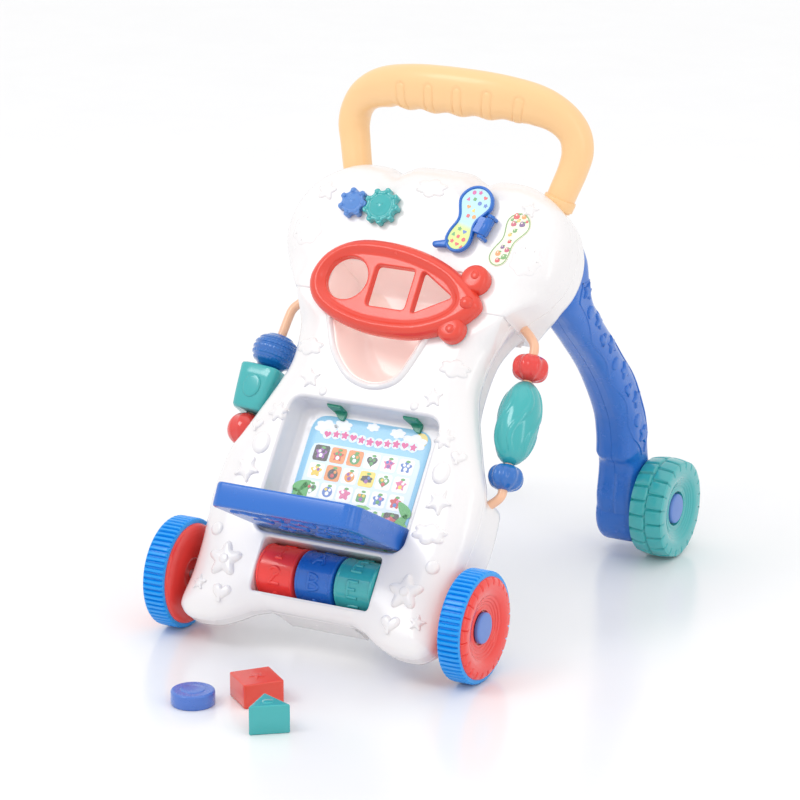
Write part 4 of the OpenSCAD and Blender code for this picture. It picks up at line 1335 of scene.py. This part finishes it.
# ---------------------------------------------------------------- wheels
def build_wheels():
    """Four wheels turned from their half sections, with tread and cuts pressed in by formula."""
    cs = np.cos
    for sx, sd in ((-1, "left"), (1, "right")):
        put = on_axle(sx * 150, 0, 50.6, sx)

        def ribs(a, r, t):
            """Ribs across the tread: a cosine round it, flattened on top and fading to the sides."""
            k = 0.5 + 0.5 * cs(60 * t)
            return (-2.7 * (1 - smooth(0.06, 0.55, k)) * smooth(46.6, 48.4, r)
                    * (1 - smooth(9.0, 10.4, np.abs(a))))
        prof = [(-10.4, 45.4), (-10.6, 46.4), (-10.6, 48.4), (-10.2, 49.6), (-9.2, 50.4),
                (-8.0, 50.6), (-4, 50.6), (0, 50.6), (4, 50.6), (8.0, 50.6), (9.2, 50.4),
                (10.2, 49.6), (10.6, 48.4), (10.6, 46.4), (10.4, 45.4)]
        s = Surf().lathe(prof, put, 60 * 10, ribs)
        body = "front_wheel_" + sd
        add_piece("ribbed_tyre_" + sd, s, TYRE, body, ("tyre_" + sd,), sharp=55)

        prof = [(9.6, 46.2), (11.0, 46.1), (12.3, 45.4), (13.4, 44.0), (14.1, 42), (14.3, 40),
                (14.2, 37.5), (13.9, 35), (13.2, 32.5), (12.5, 30.6), (11.9, 29.6), (11.0, 28.4),
                (10.8, 26.6), (9.7, 26.0), (9.5, 24.0), (8.5, 23.4), (8.3, 21.4), (7.6, 20.8),
                (7.4, 18.4), (8.0, 17.6), (8.0, 15.6), (6.0, 15.2)]
        n = FRONT_LINES * 18

        def hub_place(a, r, t):
            """Hub axes, with a cut dipping into the outer rim between each pair of spokes."""
            w = smooth(38.5, 40.5, r) * (1 - smooth(45.8, 46.2, r)) * (a > 0)
            da = -1.3 * np.exp(-((np.abs((t * FRONT_LINES / TAU) % 1 - 0.5) - 0.5) / 0.07) ** 2) * w
            return put(a + np.sign(a) * da, r + 0.6 * da, t)
        s = Surf()
        fine = resample(np.array(prof), 64, closed=False)
        s.lathe(fine, hub_place, n)
        rear = [(-9.6, 46.2), (-11.0, 46.1), (-12.3, 45.4), (-13.2, 44), (-13.9, 41), (-14, 37),
                (-13.5, 30), (-13.3, 15), (-12.6, 14), (-11, 13.4), (-11, 4.1)]
        s.lathe(resample(np.array(rear), 50, closed=False), hub_place, n)
        s.lathe([(9.6, 46.2), (-9.6, 46.2)], put, n)
        s.lathe([(6.0, 15.2), (6.0, 4.1), (-11, 4.1)], put, 60)
        add_piece("dished_hub_" + sd, s, HUB, body, ("hub_" + sd,), sharp=50)
        add_cap("axle_cap_" + sd, put, body, "cap_" + sd, 11.8)

        put = on_axle(sx * 155.5, 383, 47.7, sx)
        body = "back_wheel_" + sd
        n = REAR_LINES * 28
        a_rows = np.r_[-16.2, -15.6, np.linspace(-14.4, 14.4, 33), 15.6, 16.2]
        crown = 47.7 - 2.2 * (np.abs(a_rows) / 16.2) ** 2.4
        prof = list(zip(a_rows, crown))

        def lugs(a, r, t):
            """Two staggered rows of horseshoe lugs: grooves round each and down the middle."""
            ph = (t * REAR_LINES / TAU - np.where(a > 0, 0.75, 0.25) + 0.5) % 1 - 0.5
            leg = np.exp(-((np.abs(ph) - 0.5) / 0.075) ** 2)
            bow = np.exp(-((np.abs(a) - 4.0 * np.maximum(np.abs(ph) - 0.34, 0)) / 0.9) ** 2)
            return -2.2 * np.clip(leg + bow, 0, 1) * smooth(40, 44, r)
        s = Surf()
        s.lathe(prof, put, n, lugs)
        side = [(16.2, 45.5), (17.0, 42.8), (17.1, 40), (17.1, 38), (16.9, 34), (16.0, 30.5),
                (15.0, 29.6), (14.9, 27.6), (13.9, 27.2), (13.8, 25.2), (12.8, 24.8),
                (12.7, 22.8), (11.7, 22.4), (11.5, 19.4), (12.0, 18.6), (12.0, 16.6), (9, 16.2),
                (8.4, 15.2), (6, 15), (6, 4.1)]
        fine = resample(np.array(side), 50, closed=False)

        def side_place(a, r, t):
            """Wheel axes, with the grooves between the lugs carried over the shoulder."""
            ph = (t * REAR_LINES / TAU - np.where(a > 0, 0.75, 0.25) + 0.5) % 1 - 0.5
            cutd = np.exp(-((np.abs(ph) - 0.5) / 0.06) ** 2) * smooth(38, 40, r) * (r < 45.4)
            return put(a - np.sign(a) * 1.1 * cutd, r, t)
        s.lathe(fine, side_place, n)
        s.lathe(fine * [-1, 1], side_place, n)
        s.lathe([(6, 4.1), (-6, 4.1)], put, 60)
        add_piece("lugged_wheel_" + sd, s, TEAL, body, ("rear_wheel_" + sd,),
                  sharp=50)
        add_cap("rear_axle_cap_" + sd, put, body, "rear_cap_" + sd, 13.6)


def add_cap(name, put, body, node, top):
    """Domed axle cap whose crown stands at top along the axle."""
    prof = np.array([(0, 14.3), (top - 10.2, 14.3), (top - 8.9, 13.8), (top - 8.4, 12.7),
                     (top - 8.15, 10), (top - 8.05, 5), (top - 8, 0.001)]) + [8.0, 0]
    s = Surf().lathe(resample(np.array(prof), 30, closed=False), put, 72)
    s.lathe([(8.0, 13.4), (8.0, 0.001)], put, 72)
    add_piece(name, s, CAP, body, (node,), sharp=50)


# ---------------------------------------------------------------- blocks
def build_blocks():
    """Loose blocks: flat tops with rounded edges, one raised mark each."""
    def block(name, loop, high, r, mat, motif):
        face = Face(loop, [(loop, True, r)], [], lambda x, y: high + 0 * x)
        s = Surf()
        face.fill(s, ground, 1.6)
        face.wall(s, loop, ground, [(0, high * 0.5), (0, 0.9), (-0.7, 0.05)])
        low = loop - outward(loop) * 0.7
        s.rows(low, [(0, 0.05)], ground, close=(False, True), fill=4)
        pillow(s, motif, ground, face.height, 0.5, 0.9, 3, 0.3)
        add_piece("loose_" + name, s, mat, "block_" + name, ("block_" + name,), sharp=45)

    block("round", ring_loop(-38.5, -165, 19.5, 140), 13, 2.2, BLUE_SOFT,
          ring_loop(-38.5, -165, 11, 80))
    c, s = math.cos(math.radians(51)), math.sin(math.radians(51))
    sq = box_loop(-18.5, 18.5, -18.5, 18.5, 1.8, 160) @ np.array([[c, s], [-s, c]]) + [5.8, -131]
    block("square", sq, 22, 1.3, CORAL, star_loop(5.8, -131, 8))
    a = math.radians(248) + np.arange(3) * TAU / 3
    tri = np.stack([49.9 + 36.6 / math.sqrt(3) * np.cos(a),
                    -187.6 + 36.6 / math.sqrt(3) * np.sin(a)], 1)
    block("tri", rounded(tri, 1.8, 150), 26, 1.3, TEAL,
          ring_loop(49.9, -187.6, 5, 50))


# ---------------------------------------------------------------- kept frame pieces
def finish_nodes():
    """Finishes of the frame pieces that keep their own shape."""
    inside = {"roller_well": GREY, "roller_axle": STEEL, "cover_pin": STEEL,
              "gear_posts": STEEL, "flip_pin": STEEL, "leg_screws": STEEL, "front_axles": STEEL,
              "axle_blocks": GREY, "rear_axles": STEEL, "battery_door": GREY, "batteries": CELL,
              "circuit_board": BOARD, "speaker": DARK, "speaker_grille": GREY,
              "power_switch": CORAL, "shell_screws": STEEL}
    for name, mat in inside.items():
        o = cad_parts[name]
        if not o.material_slots:
            o.data.materials.append(mat)
        for sl in o.material_slots:
            sl.material = mat


# ---------------------------------------------------------------- stage
def light(name, kind, at, to, energy, size, colour=(1, 1, 1), size_y=None):
    """Lamp at a place, turned to face another."""
    d = bpy.data.lights.new(name, kind)
    d.energy = energy
    d.color = colour
    if kind == "AREA":
        d.size = size
        if size_y:
            d.shape, d.size_y = "RECTANGLE", size_y
    o = bpy.data.objects.new(name, d)
    bpy.context.scene.collection.objects.link(o)
    o.location = at
    o.rotation_mode = "QUATERNION"
    o.rotation_quaternion = (Vector(to) - Vector(at)).to_track_quat("-Z", "Y")
    return o


def build_stage():
    """Round pale floor, an even white sky, three soft lamps and the camera."""
    s = Surf()
    r = np.r_[0, 0.4, 0.8, 1.5, 3, 6, 12][:, None]
    a = np.linspace(0, TAU, 48, endpoint=False)[None]
    s.grid(np.stack([r * np.cos(a), r * np.sin(a), 0 * r * a - 0.0002], -1), v=True)
    o = add_floor(s)
    w = bpy.data.worlds.new("studio")
    bpy.context.scene.world = w
    w.use_nodes = True
    w.node_tree.nodes["Background"].inputs["Color"].default_value = (1, 1, 1, 1)
    w.node_tree.nodes["Background"].inputs["Strength"].default_value = 1.0
    light("key_soft", "AREA", (-0.9, -1.3, 1.9), (0, 0, 0.25), 9, 0.75)
    light("top_soft", "AREA", (0.2, 0.3, 2.2), (0, 0, 0.1), 2.4, 1.6)
    light("side_soft", "AREA", (1.9, -0.6, 1.0), (0, 0, 0.2), 3.6, 0.35, size_y=1.6)
    cam = bpy.data.cameras.new("view")
    cam.lens, cam.sensor_width = 190.1, 36.0
    o = bpy.data.objects.new("view", cam)
    bpy.context.scene.collection.objects.link(o)
    back = Vector((0.4555, -0.8389, 0.2982)).normalized()
    o.location = Vector((0.07636, -0.1118, 0.2475)) + back * 3.68
    o.rotation_mode = "QUATERNION"
    o.rotation_quaternion = (-back).to_track_quat("-Z", "Y")
    cam.clip_end = 100
    bpy.context.scene.camera = o
    bpy.context.scene.view_settings.view_transform = "Standard"


def add_floor(s):
    me = bpy.data.meshes.new("floor")
    pts, faces = np.concatenate(s.pts), np.concatenate(s.faces)
    me.from_pydata(pts.tolist(), [], faces.tolist())
    me.materials.append(FLOOR)
    o = bpy.data.objects.new("floor", me)
    bpy.context.scene.collection.objects.link(o)
    return o


build_torso()
build_head()
build_chute()
build_sorter()
build_board()
build_cover()
build_rollers()
build_rods()
build_beads()
build_gears()
build_flip()
build_handle()
build_legs()
build_wheels()
build_blocks()
finish_nodes()
build_stage()
bpy.context.view_layer.update()
